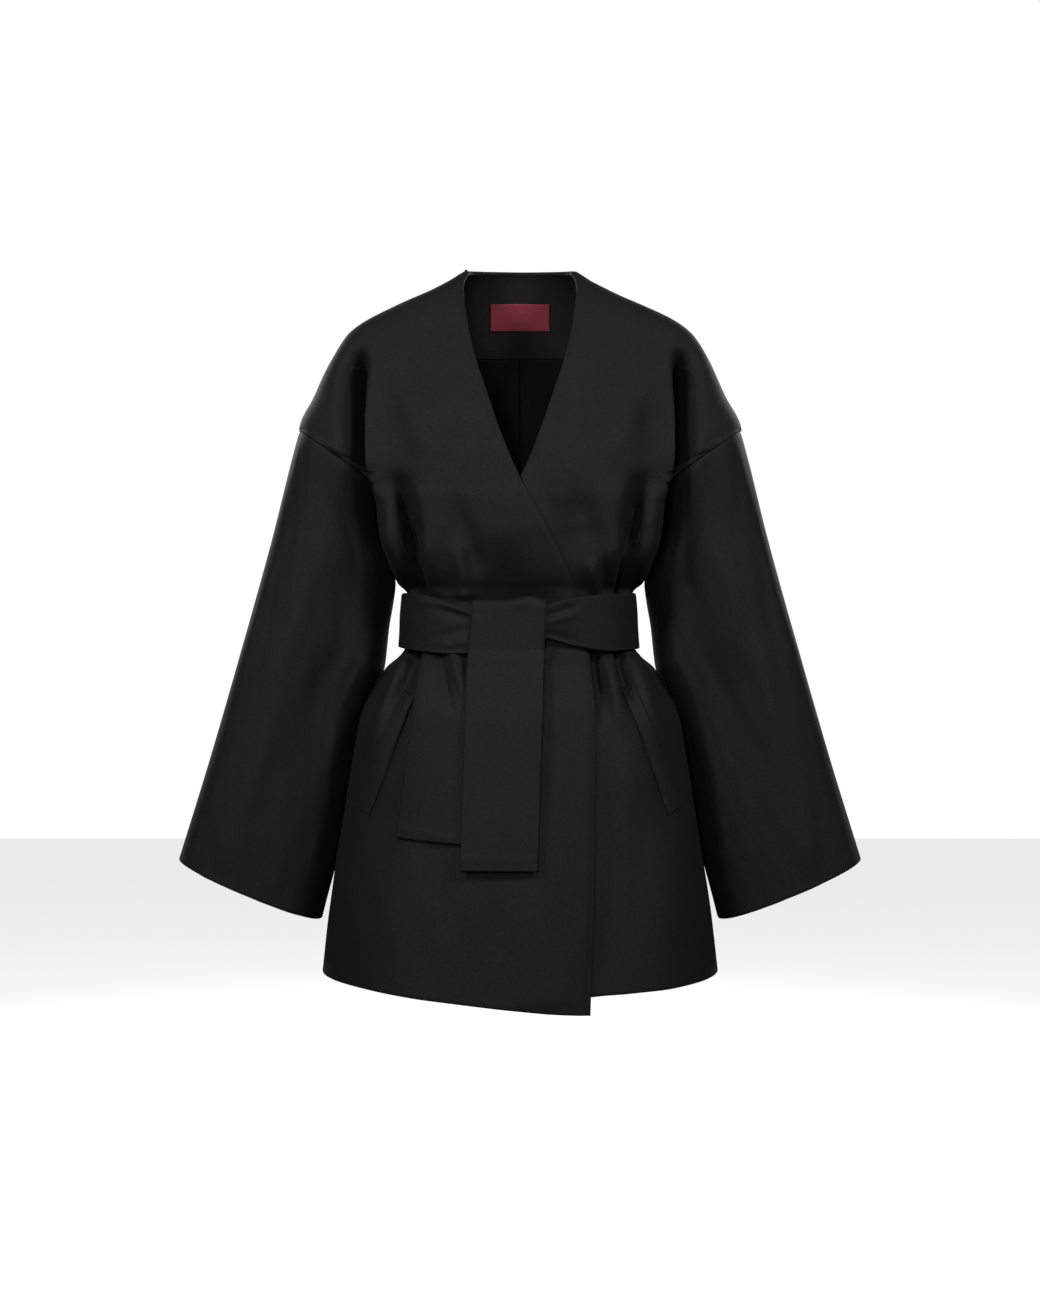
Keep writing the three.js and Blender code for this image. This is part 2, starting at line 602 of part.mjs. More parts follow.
// Outer surface of a sleeve at a part of its length and an angle round it from its outer edge
function sleevePoint(side, along, angle) {
  const outZ = mix(ARMHOLE.outZ, SLEEVE_OUTER.at(-1).z, along);
  const inZ = mix(ARMHOLE.inZ, SLEEVE_INNER.at(-1).z, along);
  const outX = readColumn(SLEEVE_OUTER, 'x', 'z', outZ);
  const beside = contour('front', inZ).end + SLEEVE_CLEARANCE * smooth(0, CLEARANCE_EASE, along);
  const inX = Math.max(readColumn(SLEEVE_INNER, 'x', 'z', inZ), beside);
  const depth = readColumn(SLEEVE_FORM, 'depth', 'along', along);
  const square = readColumn(SLEEVE_FORM, 'square', 'along', along);
  const lean = readColumn(SLEEVE_FORM, 'lean', 'along', along);
  const across = signedPower(Math.cos(angle), 2 / square);
  const forward = signedPower(Math.sin(angle), 2 / square);
  const outward = (1 + across) / 2;
  const point = new THREE.Vector3(
    side * mix(inX, outX, outward),
    lean * (1 - outward) - depth * forward,
    mix(inZ, outZ, outward),
  );
  return point.addScaledVector(armholeAxis(side), -SEAM_GAP);
}

function sleeveOffset(side, along, angle, distance) {
  const turn = 0.01;
  const step = 0.004;
  const round = sleevePoint(side, along, angle + turn).sub(sleevePoint(side, along, angle - turn));
  const from = Math.max(0, along - step);
  const to = Math.min(1, along + step);
  const down = sleevePoint(side, to, angle).sub(sleevePoint(side, from, angle));
  const normal = round.cross(down).multiplyScalar(side);
  if (along === 0) {
    layInArmhole(normal, side);
  }
  normal.normalize();
  return sleevePoint(side, along, angle).addScaledVector(normal, distance);
}

function makeSleeve(name, side, material) {
  const fullTurn = 2 * Math.PI;
  const turns = Array.from({ length: SLEEVE_COLUMNS }, (_, column) => (fullTurn * column) / SLEEVE_COLUMNS);
  const layer = (distance) => {
    const rings = SLEEVE_HEIGHTS.map((along) =>
      turns.map((angle) => sleeveOffset(side, along, angle, distance)),
    );
    // Between two rows of the panels the armhole seam is straight
    rings[0] = rings[0].map((point, column) => {
      const next = rings[0][(column + 1) % SLEEVE_COLUMNS];
      return column % 2 === 0 ? point : rings[0][column - 1].clone().lerp(next, 0.5);
    });
    return rings;
  };
  return wall(name, layer(0), layer(-COAT_WALL), material, true);
}

// A point off the waist of the coat, at a plan angle counted from the wearer's left side:
// 0 to 180 degrees passes round the back, and past 180 degrees round the front
function waistPoint(degrees, z, distance) {
  const angle = THREE.MathUtils.degToRad(degrees);
  const face = Math.sin(angle) >= 0 ? 'back' : 'front';
  const curve = contour(face, z);
  const across = signedPower(Math.cos(angle), 2 / curve.square);
  const forward = signedPower(Math.sin(angle), 2 / curve.square);
  const normal = new THREE.Vector2(
    signedPower(across, curve.square - 1) / curve.half,
    signedPower(forward, curve.square - 1) / curve.depth,
  ).normalize();
  const x = curve.half * across;
  const y = curve.depth * forward;
  return new THREE.Vector3(x + normal.x * distance, y + normal.y * distance, z);
}

function makeBeltBand(material) {
  const from = -BAND_ENDS.left;
  const to = 180 + BAND_ENDS.right;
  const columns = Array.from({ length: BELT_COLUMNS + 1 }, (_, column) => column / BELT_COLUMNS);
  const degrees = columns.map((part) => mix(from, to, part));
  const layer = (thickness) =>
    Array.from({ length: BELT_ROWS + 1 }, (_, row) =>
      degrees.map((degree) => {
        const middle = waistPoint(degree, BELT_MIDDLE, 0);
        const front = middle.y < 0;
        const top = front ? readColumn(BELT_EDGES, 'top', 'x', middle.x) : BELT_TOP;
        const bottom = front ? readColumn(BELT_EDGES, 'bottom', 'x', middle.x) : BELT_BOTTOM;
        const ease = TAIL_ROOM_EASE;
        const roomLeft = smooth(TAIL_ROOM_LEFT - ease, TAIL_ROOM_LEFT + ease, middle.x);
        const roomRight = smooth(TAIL_ROOM_RIGHT + ease, TAIL_ROOM_RIGHT - ease, middle.x);
        const room = front ? TAIL_ROOM * roomLeft * roomRight : 0;
        const across = row / BELT_ROWS;
        const bulge = BELT_BULGE * Math.sin(Math.PI * across);
        return waistPoint(degree, mix(top, bottom, across), LAYER_GAP + room + bulge + thickness);
      }),
    );
  return wall('belt_band', layer(BELT_WALL), layer(0), material);
}

// Front surface of the coat without its folds, under a point of a tail
function frontDepth(x, z) {
  const curve = contour('front', z);
  return curve.depth * (1 - (Math.abs(x) / curve.half) ** curve.square) ** (1 / curve.square);
}

// A strip of belt that hangs down the front, from the rows of its table
function makeTail(name, table, slope, material) {
  const last = table.length - 1;
  const layer = (side) =>
    table.map((row, index) => {
      const before = table[Math.max(0, index - 1)];
      const after = table[Math.min(last, index + 1)];
      const path = new THREE.Vector2(after.off - before.off, after.z - before.z).normalize();
      const half = (side * BELT_WALL) / 2;
      const off = row.off - path.y * half;
      return Array.from({ length: TAIL_COLUMNS + 1 }, (_, column) => {
        const across = column / TAIL_COLUMNS;
        const x = mix(row.left, row.right, across);
        const z = row.z + path.x * half - (index === last ? slope * across : 0);
        return new THREE.Vector3(x, -frontDepth(x, Math.min(z, row.z)) - off, z);
      });
    });
  return wall(name, layer(1), layer(-1), material);
}

function makeWelt(name, panel, side, table, material) {
  const top = table[0].z;
  const bottom = table.at(-1).z;
  const layer = (distance) =>
    Array.from({ length: WELT_ROWS + 1 }, (_, row) => {
      const z = mix(top, bottom, row / WELT_ROWS);
      const open = readColumn(table, 'open', 'z', z);
      const sewn = readColumn(table, 'sewn', 'z', z);
      return [0, 0.5, 1].map((across) => {
        const x = mix(open, sewn, across);
        const height = z - WELT_END_SLOPE * across;
        const angle = angleAt(contour('front', height), Math.abs(x));
        return panelOffset(panel, side, angle, height, distance);
      });
    });
  return wall(name, layer(LAYER_GAP + WELT_WALL), layer(LAYER_GAP), material);
}

// How far from the middle the facing reaches at a height
function facingReach(z) {
  const ridge = contour('back', z).half - RIDGE_ROOM;
  return Math.min(ridge, FACING_REACH - FACING_TAPER * smooth(TAPER_START, LINING_TOP, z));
}

// Half of the facing, from its outer edge to its seam at centre back, its lower edge sagging
function makeFacing(name, side, material) {
  const lowest = FACING_HEIGHTS.at(-1);
  const layer = (distance) =>
    FACING_HEIGHTS.map((z) => {
      const curve = contour('back', z);
      const from = angleAt(curve, facingReach(z));
      const angles = rowAngles('back', side, z, from, angleAt(curve, SEAM_GAP / 2), FACING_COLUMNS, 1);
      return angles.map((angle) => {
        const sag = FACING_SAG * Math.sin(angle) ** 4 * smooth(SAG_START, lowest, z);
        return panelOffset('back', side, angle, z - sag, distance);
      });
    });
  const depth = COAT_WALL + LAYER_GAP;
  return wall(name, layer(-depth), layer(-depth - FACING_WALL), material);
}

// Half of the lining, on the back's own rows and columns but for the one beside its seams
function makeLining(name, side, material) {
  const heights = coatHeights().filter((z) => z <= LINING_TOP && z >= LINING_BOTTOM);
  const layer = (distance) =>
    heights.map((z) => {
      const curve = contour('back', z);
      const end = angleAt(curve, SEAM_GAP / 2);
      const angles = rowAngles('back', side, z, curve.start, end, BACK_COLUMNS / 2, COLUMN_CROWDING);
      const inOrder = side < 0 ? angles.slice(1) : angles.slice(1).reverse();
      return inOrder.map((angle) => {
        const sag = z === LINING_TOP ? FACING_SAG * Math.sin(angle) ** 4 : 0;
        return panelOffset('back', side, angle, z - sag, distance);
      });
    });
  const depth = COAT_WALL + LAYER_GAP;
  return wall(name, layer(-depth), layer(-depth - LINING_WALL), material);
}

function makeLabel(material) {
  const depth = COAT_WALL + LAYER_GAP + FACING_WALL + LAYER_GAP;
  const layer = (distance) =>
    [LABEL_TOP, (LABEL_TOP + LABEL_BOTTOM) / 2, LABEL_BOTTOM].map((z) =>
      Array.from({ length: LABEL_COLUMNS + 1 }, (_, column) => {
        const x = LABEL_WIDTH * (column / LABEL_COLUMNS - 0.5);
        const side = x < 0 ? -1 : 1;
        return panelOffset('back', side, angleAt(contour('back', z), Math.abs(x)), z, distance);
      }),
    );
  return wall('label', layer(-depth), layer(-depth - LABEL_WALL), material);
}

const coat = new THREE.Group();
coat.add(makeFront('front_right', -1, cloth(WOOL, WOOL_ROUGHNESS)));
coat.add(makeFront('front_left', 1, cloth(WOOL, WOOL_ROUGHNESS)));
coat.add(makeBack(cloth(WOOL, WOOL_ROUGHNESS)));
coat.add(makeSleeve('sleeve_right', -1, cloth(WOOL, WOOL_ROUGHNESS)));
coat.add(makeSleeve('sleeve_left', 1, cloth(WOOL, WOOL_ROUGHNESS)));
coat.add(makeBeltBand(cloth(WOOL, WOOL_ROUGHNESS)));
coat.add(makeTail('belt_tail_front', FRONT_TAIL, 0, cloth(WOOL, WOOL_ROUGHNESS)));
coat.add(makeTail('belt_tail_rear', REAR_TAIL, REAR_TAIL_SLOPE, cloth(WOOL, WOOL_ROUGHNESS)));
coat.add(makeWelt('pocket_welt_right', 'front_right', -1, WELTS.right, cloth(WOOL, WOOL_ROUGHNESS)));
coat.add(makeWelt('pocket_welt_left', 'front_left', 1, WELTS.left, cloth(WOOL, WOOL_ROUGHNESS)));

for (const [hand, side] of [['right', -1], ['left', 1]]) {
  coat.add(makeFacing(`neck_facing_${hand}`, side, cloth(WOOL, WOOL_ROUGHNESS)));
  coat.add(makeLining(`back_lining_${hand}`, side, cloth(LINING_BLACK, LINING_ROUGHNESS)));
}
coat.add(makeLabel(cloth(LABEL_RED, LABEL_ROUGHNESS)));

export default coat;
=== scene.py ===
# Wrap coat with kimono sleeves and a tied belt: black melton wool, filled out as worn.
# Tables and surfaces are in millimetres, in the frame of the part, and become metres in make_mesh.
import math

import bpy
import numpy as np
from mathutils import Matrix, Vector


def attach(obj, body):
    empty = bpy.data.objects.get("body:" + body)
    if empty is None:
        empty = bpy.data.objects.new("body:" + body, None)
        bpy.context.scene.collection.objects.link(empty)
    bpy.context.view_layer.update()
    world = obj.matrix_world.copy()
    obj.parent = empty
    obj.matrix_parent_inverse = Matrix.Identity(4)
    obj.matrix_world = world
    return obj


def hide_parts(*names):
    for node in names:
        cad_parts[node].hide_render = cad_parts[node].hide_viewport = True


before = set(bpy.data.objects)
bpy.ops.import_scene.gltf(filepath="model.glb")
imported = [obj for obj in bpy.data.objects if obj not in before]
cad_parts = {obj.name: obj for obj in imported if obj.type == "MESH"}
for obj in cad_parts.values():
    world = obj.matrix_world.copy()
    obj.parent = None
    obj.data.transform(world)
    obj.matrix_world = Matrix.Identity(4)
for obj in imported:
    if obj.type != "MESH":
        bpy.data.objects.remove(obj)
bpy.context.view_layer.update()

MM = 0.001

# Camera, level with the middle of the coat as in the photograph
CAMERA_DISTANCE = 2.15
CAMERA_HEIGHT = -0.423
FRAME_HEIGHT = 1.456
SENSOR = 36

camera_data = bpy.data.cameras.new("camera")
camera_data.sensor_width = SENSOR
camera_data.lens = SENSOR * CAMERA_DISTANCE / FRAME_HEIGHT
camera = bpy.data.objects.new("camera", camera_data)
bpy.context.scene.collection.objects.link(camera)
camera.location = (0, -CAMERA_DISTANCE, CAMERA_HEIGHT)
camera.rotation_euler = (math.radians(90), 0, 0)
bpy.context.scene.camera = camera

# Walls of cloth, and the gaps that part the pieces
COAT_WALL = 3
FACING_WALL = 2
LINING_WALL = 1
BELT_WALL = 4
WELT_WALL = 3
LABEL_WALL = 1
SEAM_GAP = 0.05
LAYER_GAP = 0.8
LAP_GAP = 2

# Numbers of points across and down each piece
FRONT_COLUMNS = 124
BACK_COLUMNS = 88
SLEEVE_COLUMNS = 150
SLEEVE_ROWS = 150
BAND_COLUMNS = 300
BAND_ROWS = 26
TAIL_COLUMNS = 46
TAIL_ROWS = 150
ROW_SAMPLES = 400
# Steps over which the slope of a panel and of a sleeve are taken
NORMAL_TURN = 0.002
NORMAL_STEP = 0.4
SLEEVE_TURN = 0.01
SLEEVE_STEP = 0.004
# Part of a step to the front or back that counts when columns are spaced along a row
DEPTH_SHARE = 0.4
# How much closer the columns lie at the free edge of a row than at its side seam
CROWDING = 1.1
# How late along a row the columns make room for the armhole
CUT_CROWDING = 4
EDGE_STEPS = 3
EDGE_PULL = 0.7
# Shares of rounding of the top, right, low and left edges of each kind of piece
PLAIN_ROLLS = (1, 1, 1, 1)
FRONT_ROLLS = (1, 1.2, 1, 0.5)
BACK_ROLLS = (1, 0.5, 1, 0.5)
SLEEVE_ROLLS = (0.5, 1, 1, 1)
FACING_ROLLS = (1, 0.02, 0.8, 0.5)


def rows(names, values):
    """A table with named columns."""
    return dict(zip(names.split(), np.array(values, float).T))


# Level sections from the neck to the hem: half the width, the depth to front and back, and
# how square the corners are (2 is an ellipse)
SECTIONS = rows("z half front back front_square back_square", [
    (4, 57, 15, 50, 2, 2),
    (-2, 68, 21, 55, 2, 2),
    (-11, 82, 28, 60, 2, 2),
    (-24, 107, 35, 66, 2, 2),
    (-38, 140, 41, 72, 2, 2),
    (-58, 179, 49, 80, 2, 2),
    (-71, 194, 54, 84, 2, 2),
    (-98, 210.6, 66, 92, 2.05, 2.1),
    (-138, 229, 80, 101, 2.15, 2.2),
    (-178.8, 246.4, 93, 107, 2.3, 2.3),
    (-210, 222, 102, 109, 2.9, 2.4),
    (-242, 177, 108, 109, 3.8, 2.6),
    (-262, 166, 111, 107, 4.2, 2.6),
    (-284, 159, 111, 104, 4.1, 2.6),
    (-311, 150, 108, 98, 3.6, 2.5),
    (-333, 139.5, 104, 93, 3, 2.4),
    (-348, 129.5, 100, 90, 2.6, 2.3),
    (-357, 124.5, 96.5, 87, 2.4, 2.3),
    (-390, 125, 93, 85, 2.4, 2.3),
    (-422, 129, 94, 87, 2.4, 2.3),
    (-431, 137, 98, 93, 2.4, 2.3),
    (-442, 150, 106, 101, 2.3, 2.3),
    (-459, 161, 113, 108, 2.3, 2.3),
    (-495, 178, 123, 117, 2.3, 2.2),
    (-553, 188, 132, 129, 2.3, 2.2),
    (-610, 197, 139, 139, 2.2, 2.2),
    (-657, 205, 144, 146, 2.2, 2.2),
    (-703, 212, 149, 152, 2.2, 2.2),
    (-779, 221, 156, 160, 2.2, 2.2),
    (-810, 224.5, 159, 163, 2.2, 2.2),
])

# Armhole of the dropped shoulder: a tilted ellipse from its outer top to the underarm
OUT_X, OUT_Z = 246.4, -178.8
IN_X, IN_Z = 156, -242
ARMHOLE_DEPTH = 62

# Below the underarm the side seam is drawn in, and the cloth bends back to it over this reach
DRAWN_IN = rows("z by", [(-242, 21), (-262, 7), (-284, 1.5), (-305, 0)])
BACK_BEND = 32
FRONT_BEND = rows("z reach", [
    (-178, 32), (-222, 20), (-238, 10), (-262, 10), (-300, 20), (-335, 30),
])
# Folds start at the side seam and grow over this plan angle, in radians
BACK_SEAM_EASE = 0.25
FRONT_SEAM_EASE = 0.04

# Free edge of the right front, which lies on top
FRONT_EDGE = rows("z x", [
    (4, -56), (-14.6, -63.4), (-66, -57), (-106, -47.7), (-140, -36.7), (-188.5, -20.3),
    (-237.7, 0), (-295, 31.9), (-361, 62), (-426, 77), (-530, 82), (-630, 79.4), (-712, 76),
    (-806, 71.5),
])

# Stretches of rows down the panels: where each ends, and how many rows it has
TOP_ROW = 1
ROW_STRETCHES = rows("to count", [(-345, 42), (-380, 15), (-420, 7), (-470, 24), (-779, 72)])
SHOULDER_ROWS = 46
ARMHOLE_ROWS = 56

# How far the hems fall below the side seams, and the back neck rises over the sides
SIDE_HEM = -779
DROP_START = -500
RIGHT_HEM_DROP = 27
RIGHT_DROP_FROM = -260
RIGHT_DROP_TO = 130
LEFT_HEM_DROP = 11
BACK_HEM_DROP = 4
HEM_HALF_WIDTH = 221
BACK_NECK_RISE = 10
RISE_SHAPE = 0.8
RISE_END = -60

# The left front sinks under the right one, from this far past the right one's edge
SINK_START = 40
SINK_FULL = 12

# Folds on the panels: a line from (u, v) to (to_u, to_v), which are x and z, its depth outwards,
# the widths of its flanks towards -x and +x, and the parts over which it grows and fades
FOLD_NAMES = "u v to_u to_v depth left right grow fade"
FRONT_FOLDS = rows(FOLD_NAMES, [
    # Deep drape in front of each armhole, and the ridge of the bodice beside it
    (-177, -84, -174, -246, -58, 13, 6, 0.3, 0.06),
    (177, -84, 174, -246, -58, 6, 13, 0.3, 0.06),
    (-162, -100, -154, -300, -12, 12, 34, 0.4, 0.3),
    (162, -100, 154, -296, -12, 34, 12, 0.4, 0.3),
    # Broad swell of the chest from the shoulder towards the middle
    (-140, -110, -76, -250, 8, 22, 30, 0.4, 0.4),
    (140, -110, 84, -244, 8, 30, 22, 0.4, 0.4),
    # Rolls at the sides of the bodice, which run down into the belt
    (-150, -276, -116, -372, 10, 8, 7, 0.4, 0.05),
    (151, -280, 118, -372, 10, 7, 8, 0.4, 0.05),
    # Dimples under the bust and the pleats that rise from the belt to them
    (-134, -224, -116, -336, -36, 9, 12, 0.5, 0.4),
    (133, -224, 120, -326, -33, 12, 9, 0.5, 0.4),
    (-122, -282, -104, -384, -24, 10, 5, 0.45, 0.02),
    (123, -278, 107, -384, -22, 5, 10, 0.45, 0.02),
    (-105, -288, -94, -370, 6, 4, 14, 0.4, 0.03),
    (107, -286, 97, -370, 6, 14, 4, 0.4, 0.03),
    # Softer folds between them
    (-78, -236, -44, -354, -9, 15, 13, 0.5, 0.3),
    (-66, -290, -59, -368, 8, 10, 10, 0.5, 0.03),
    (-20, -296, -10, -384, -12, 30, 26, 0.6, 0.03),
    (-62, -384, 54, -380, -13, 14, 27, 0.25, 0.25),
    (54, -228, 78, -335, -12, 18, 16, 0.5, 0.4),
    (73, -320, 83, -368, 7, 6, 7, 0.5, 0.03),
    (92, -318, 93, -368, -7, 6, 6, 0.5, 0.03),
    # Gathers that fall from the belt over the hips
    (-106, -406, -152, -520, -20, 8, 10, 0.08, 0.6),
    (-119, -416, -172, -560, 9, 9, 11, 0.08, 0.7),
    (-134, -416, -174, -510, -10, 8, 9, 0.2, 0.6),
    (-76, -406, -86, -500, -10, 10, 12, 0.1, 0.7),
    (80, -406, 91, -515, -17, 4, 8, 0.06, 0.6),
    (92, -416, 112, -525, 9, 7, 10, 0.08, 0.65),
    (106, -406, 125, -510, -18, 6, 6, 0.06, 0.6),
    (118, -416, 160, -550, 9, 8, 11, 0.08, 0.7),
    (136, -416, 176, -510, -10, 8, 9, 0.2, 0.6),
    # Grooves along the sewn edges of the welts
    (-110, -468, -158.5, -590, -2, 2.4, 2.4, 0.06, 0.06),
    (108.5, -460, 156, -590, -2, 2.4, 2.4, 0.06, 0.06),
    (-118, -600, -126, -800, 4, 30, 34, 0.5, 0.05),
    (20, -560, 24, -800, 3, 30, 30, 0.5, 0.05),
    (100, -520, 110, -800, -4, 20, 26, 0.5, 0.05),
    (152, -560, 160, -800, 3, 24, 26, 0.5, 0.05),
])
# Rolls that push the cloth out sideways: the bodice hangs over each armhole and side seam. Here u
# is the distance from the middle, the same on both sides, and the rolls ease off at the seam.
SIDE_ROLLS = rows(FOLD_NAMES, [
    (164, -96, 158, -300, 7, 16, 6.5, 0.4, 0.4),
    (153, -222, 152, -296, 3, 14, 10, 0.3, 0.6),
    (150, -226, 150, -264, 6, 8, 8, 0.4, 0.5),
])
ROLL_EASE = 5
BACK_FOLDS = rows(FOLD_NAMES, [
    (-182, -100, -166, -238, -19, 24, 13, 0.5, 0.12),
    (182, -100, 166, -238, -19, 13, 24, 0.5, 0.12),
    (-158, -130, -146, -310, 4, 8, 24, 0.4, 0.4),
    (158, -130, 147, -306, 4, 24, 8, 0.4, 0.4),
    (-150, -286, -112, -366, 5, 9, 10, 0.4, 0.05),
    (150, -290, 113, -366, 5, 10, 9, 0.4, 0.05),
    (-128, -250, -98, -366, -9, 13, 10, 0.5, 0.05),
    (-84, -275, -72, -366, 6, 6, 15, 0.5, 0.05),
    (-47, -240, -42, -366, -8, 15, 11, 0.5, 0.05),
    (-10, -288, -8, -366, 5, 7, 15, 0.5, 0.05),
    (38, -262, 32, -366, -7, 11, 15, 0.5, 0.05),
    (76, -282, 64, -366, 6, 14, 6, 0.5, 0.05),
    (124, -246, 96, -366, -9, 10, 13, 0.5, 0.05),
    (-102, -415, -134, -540, -8, 11, 13, 0.08, 0.65),
    (-84, -415, -104, -560, 5, 7, 12, 0.08, 0.65),
    (-66, -415, -80, -520, -7, 8, 9, 0.08, 0.65),
    (-38, -415, -44, -600, 6, 12, 12, 0.08, 0.7),
    (-14, -415, -16, -530, -8, 9, 11, 0.08, 0.65),
    (12, -415, 16, -570, 6, 9, 12, 0.08, 0.7),
    (38, -415, 48, -525, -8, 12, 9, 0.08, 0.65),
    (66, -415, 84, -600, 6, 12, 10, 0.08, 0.7),
    (92, -415, 112, -520, -6, 8, 8, 0.08, 0.65),
    (112, -418, 146, -560, 5, 9, 12, 0.1, 0.65),
    (-120, -600, -128, -790, 2.6, 30, 30, 0.5, 0.05),
    (-20, -580, -24, -790, -2.4, 34, 34, 0.5, 0.05),
    (104, -610, 112, -790, 2.6, 32, 28, 0.5, 0.05),
])
# The inside of a wall follows its folds with flanks softened by this much
INNER_SOFTNESS = 9
# Folds move the cloth mostly to the front or back, and only by this share to the side
FOLD_TURN = 0.35

# The belt presses every ridge flat between these heights, or from a little under its own upper edge
# in front. It bridges the hollows, which end behind it at the other two heights.
FLAT_TOP = -357
FLAT_BOTTOM = -426
FLAT_ROOM = -4
HOLLOW_TOP = -388
HOLLOW_BOTTOM = -394
FLAT_EASE = 14

# Small forms: the dip along seams, the roll of free edges, and the unevenness of hanging cloth
SEAM_DIP = 0.9
SEAM_DIP_WIDTH = 4
EDGE_ROLL = 2.2
EDGE_ROLL_WIDTH = 5
RIPPLE_RATE = 3
RIPPLES = rows("height u_wave v_wave phase", [
    (0.55, 74, 190, 0.4), (0.4, -49, 131, 2.1), (0.3, 33, -97, 4.4), (0.22, 21, 58, 1.2),
])

# Outer edge of the sleeve from the armhole to the hem, and its inner edge beside the body
SLEEVE_OUTER = rows("z x", [
    (-178.8, 246.4), (-206, 253.7), (-300, 277), (-421, 310.5), (-542, 345.5), (-656, 380.8),
])
SLEEVE_INNER = rows("z x", [
    (-242, 156.6), (-262, 160.5), (-284, 159.5), (-311, 151.5), (-333, 142.5), (-348, 141),
    (-369, 143.5), (-395, 148), (-442, 153.5), (-726, 224),
])
SLEEVE_CLEARANCE = 1.2
CLEARANCE_EASE = 0.1
# Along the sleeve: its half depth, how far its inner edge leans back, and its squareness
SLEEVE_FORM = rows("along depth lean square", [
    (0, 62, 0, 2), (0.2, 61, 24, 2.3), (0.45, 60, 27, 2.4), (1, 64, 22, 2.2),
])
SLEEVE_LENGTH = 550
SLEEVE_SEAM_EASE = 0.03
SLEEVE_CROWDING = 1.15
# Folds of a sleeve: u is the angle round it in degrees from the outer edge over the front, and
# v is 100 times the part of its length. The lengths scale both for the unevenness of the cloth.
ROUND_LENGTH = 3
PART_LENGTH = 6
SLEEVE_FOLDS = rows(FOLD_NAMES, [
    (50, 0, 44, 70, -2.5, 12, 12, 0.1, 0.6),
    (84, 4, 74, 100, 5, 13, 15, 0.3, 0.1),
    (108, 2, 106, 80, -5, 12, 10, 0.2, 0.5),
    (140, 22, 132, 92, 6, 12, 9, 0.35, 0.5),
    (152, 2, 150, 42, -5, 10, 10, 0.2, 0.6),
    (20, 20, 24, 100, 1.8, 14, 16, 0.4, 0.1),
    (214, 4, 222, 60, -6, 12, 12, 0.2, 0.6),
    (250, 10, 256, 90, 3, 14, 14, 0.3, 0.4),
    (292, 0, 300, 70, -3, 14, 14, 0.2, 0.6),
    (328, 24, 326, 100, 2.5, 16, 14, 0.4, 0.2),
])

# Upper and lower edge of the belt across the front; round the sides and back they are level
BELT_MIDDLE = -390
BELT_TOP = -359
BELT_BOTTOM = -420
BELT_EDGES = rows("x top bottom", [
    (-131, -359, -419), (-101, -363, -424), (-72, -372, -427), (-52, -380, -427),
    (-12, -382, -420), (27, -376.5, -411), (31, -374, -411.5), (53, -367.5, -418.5),
    (93, -362.5, -424.5), (131, -359, -421),
])
BELT_BULGE = 2
BULGE_SHAPE = 0.8
# Behind, the band is as uneven as hanging cloth, by this share and with shorter waves
BAND_UNEVEN = 0.6
BAND_WAVES_X = 1.5
BAND_WAVES_Z = 2
BAND_END_RIGHT = 87
BAND_END_LEFT = 83
TAIL_ROOM = 6.6
TAIL_ROOM_LEFT = -122
TAIL_ROOM_RIGHT = 42
TAIL_ROOM_EASE = 20
# Creases of the band that fan out from under the front tail
BELT_FOLDS = rows(FOLD_NAMES, [
    (-112, -367, -50, -383, 1.6, 3.5, 3.5, 0.4, 0.02),
    (-96, -372, -50, -391, -2.6, 4, 4.5, 0.5, 0.02),
    (-92, -412, -50, -399, -1.8, 4, 5, 0.5, 0.02),
    (-84, -420, -50, -414, 1.2, 4, 5, 0.5, 0.02),
    (66, -374, 24, -388, -2.4, 4.5, 4, 0.5, 0.02),
    (70, -383, 24, -393, 1.5, 4, 4, 0.5, 0.02),
    (66, -417, 24, -404, -2.2, 4.5, 4, 0.5, 0.02),
    (-128, -378, -96, -402, 0.8, 8, 8, 0.5, 0.5),
    (98, -380, 124, -404, -0.9, 8, 8, 0.5, 0.5),
])

# The front tail comes up behind the band, folds over its top edge and hangs down in front.
# A row gives the distance of its middle off the coat and its two side edges.
FRONT_TAIL = rows("z off left right", [
    (-392, 3, -51, 27.5), (-379, 3, -51, 27.5), (-373.8, 4.6, -51, 27.5),
    (-371.6, 8.8, -51, 27.5), (-373.8, 13, -51, 27.5), (-379, 14.6, -51, 27.5),
    (-400, 14.8, -54, 27), (-428, 14.2, -56, 26), (-458, 12.6, -57.5, 25),
    (-495, 11.4, -58.5, 24), (-545, 10, -60, 22), (-600, 9.4, -61.5, 20.5),
    (-654, 9.2, -63, 18.6),
])
# The rear tail comes out under the band and hangs behind the front tail
REAR_TAIL = rows("z off left right", [
    (-404, 4.2, -104, -26), (-426, 4.2, -106, -28), (-446, 4.6, -109.5, -31),
    (-470, 6.4, -113, -34.5), (-495, 6, -116, -37.5), (-520, 4.4, -119, -40),
    (-565, 3.6, -124.5, -45.5), (-622, 3.4, -132, -52),
])
REAR_TAIL_SLOPE = 6
# Part of the length of a tail at which its slope begins
TILT_START = 0.5
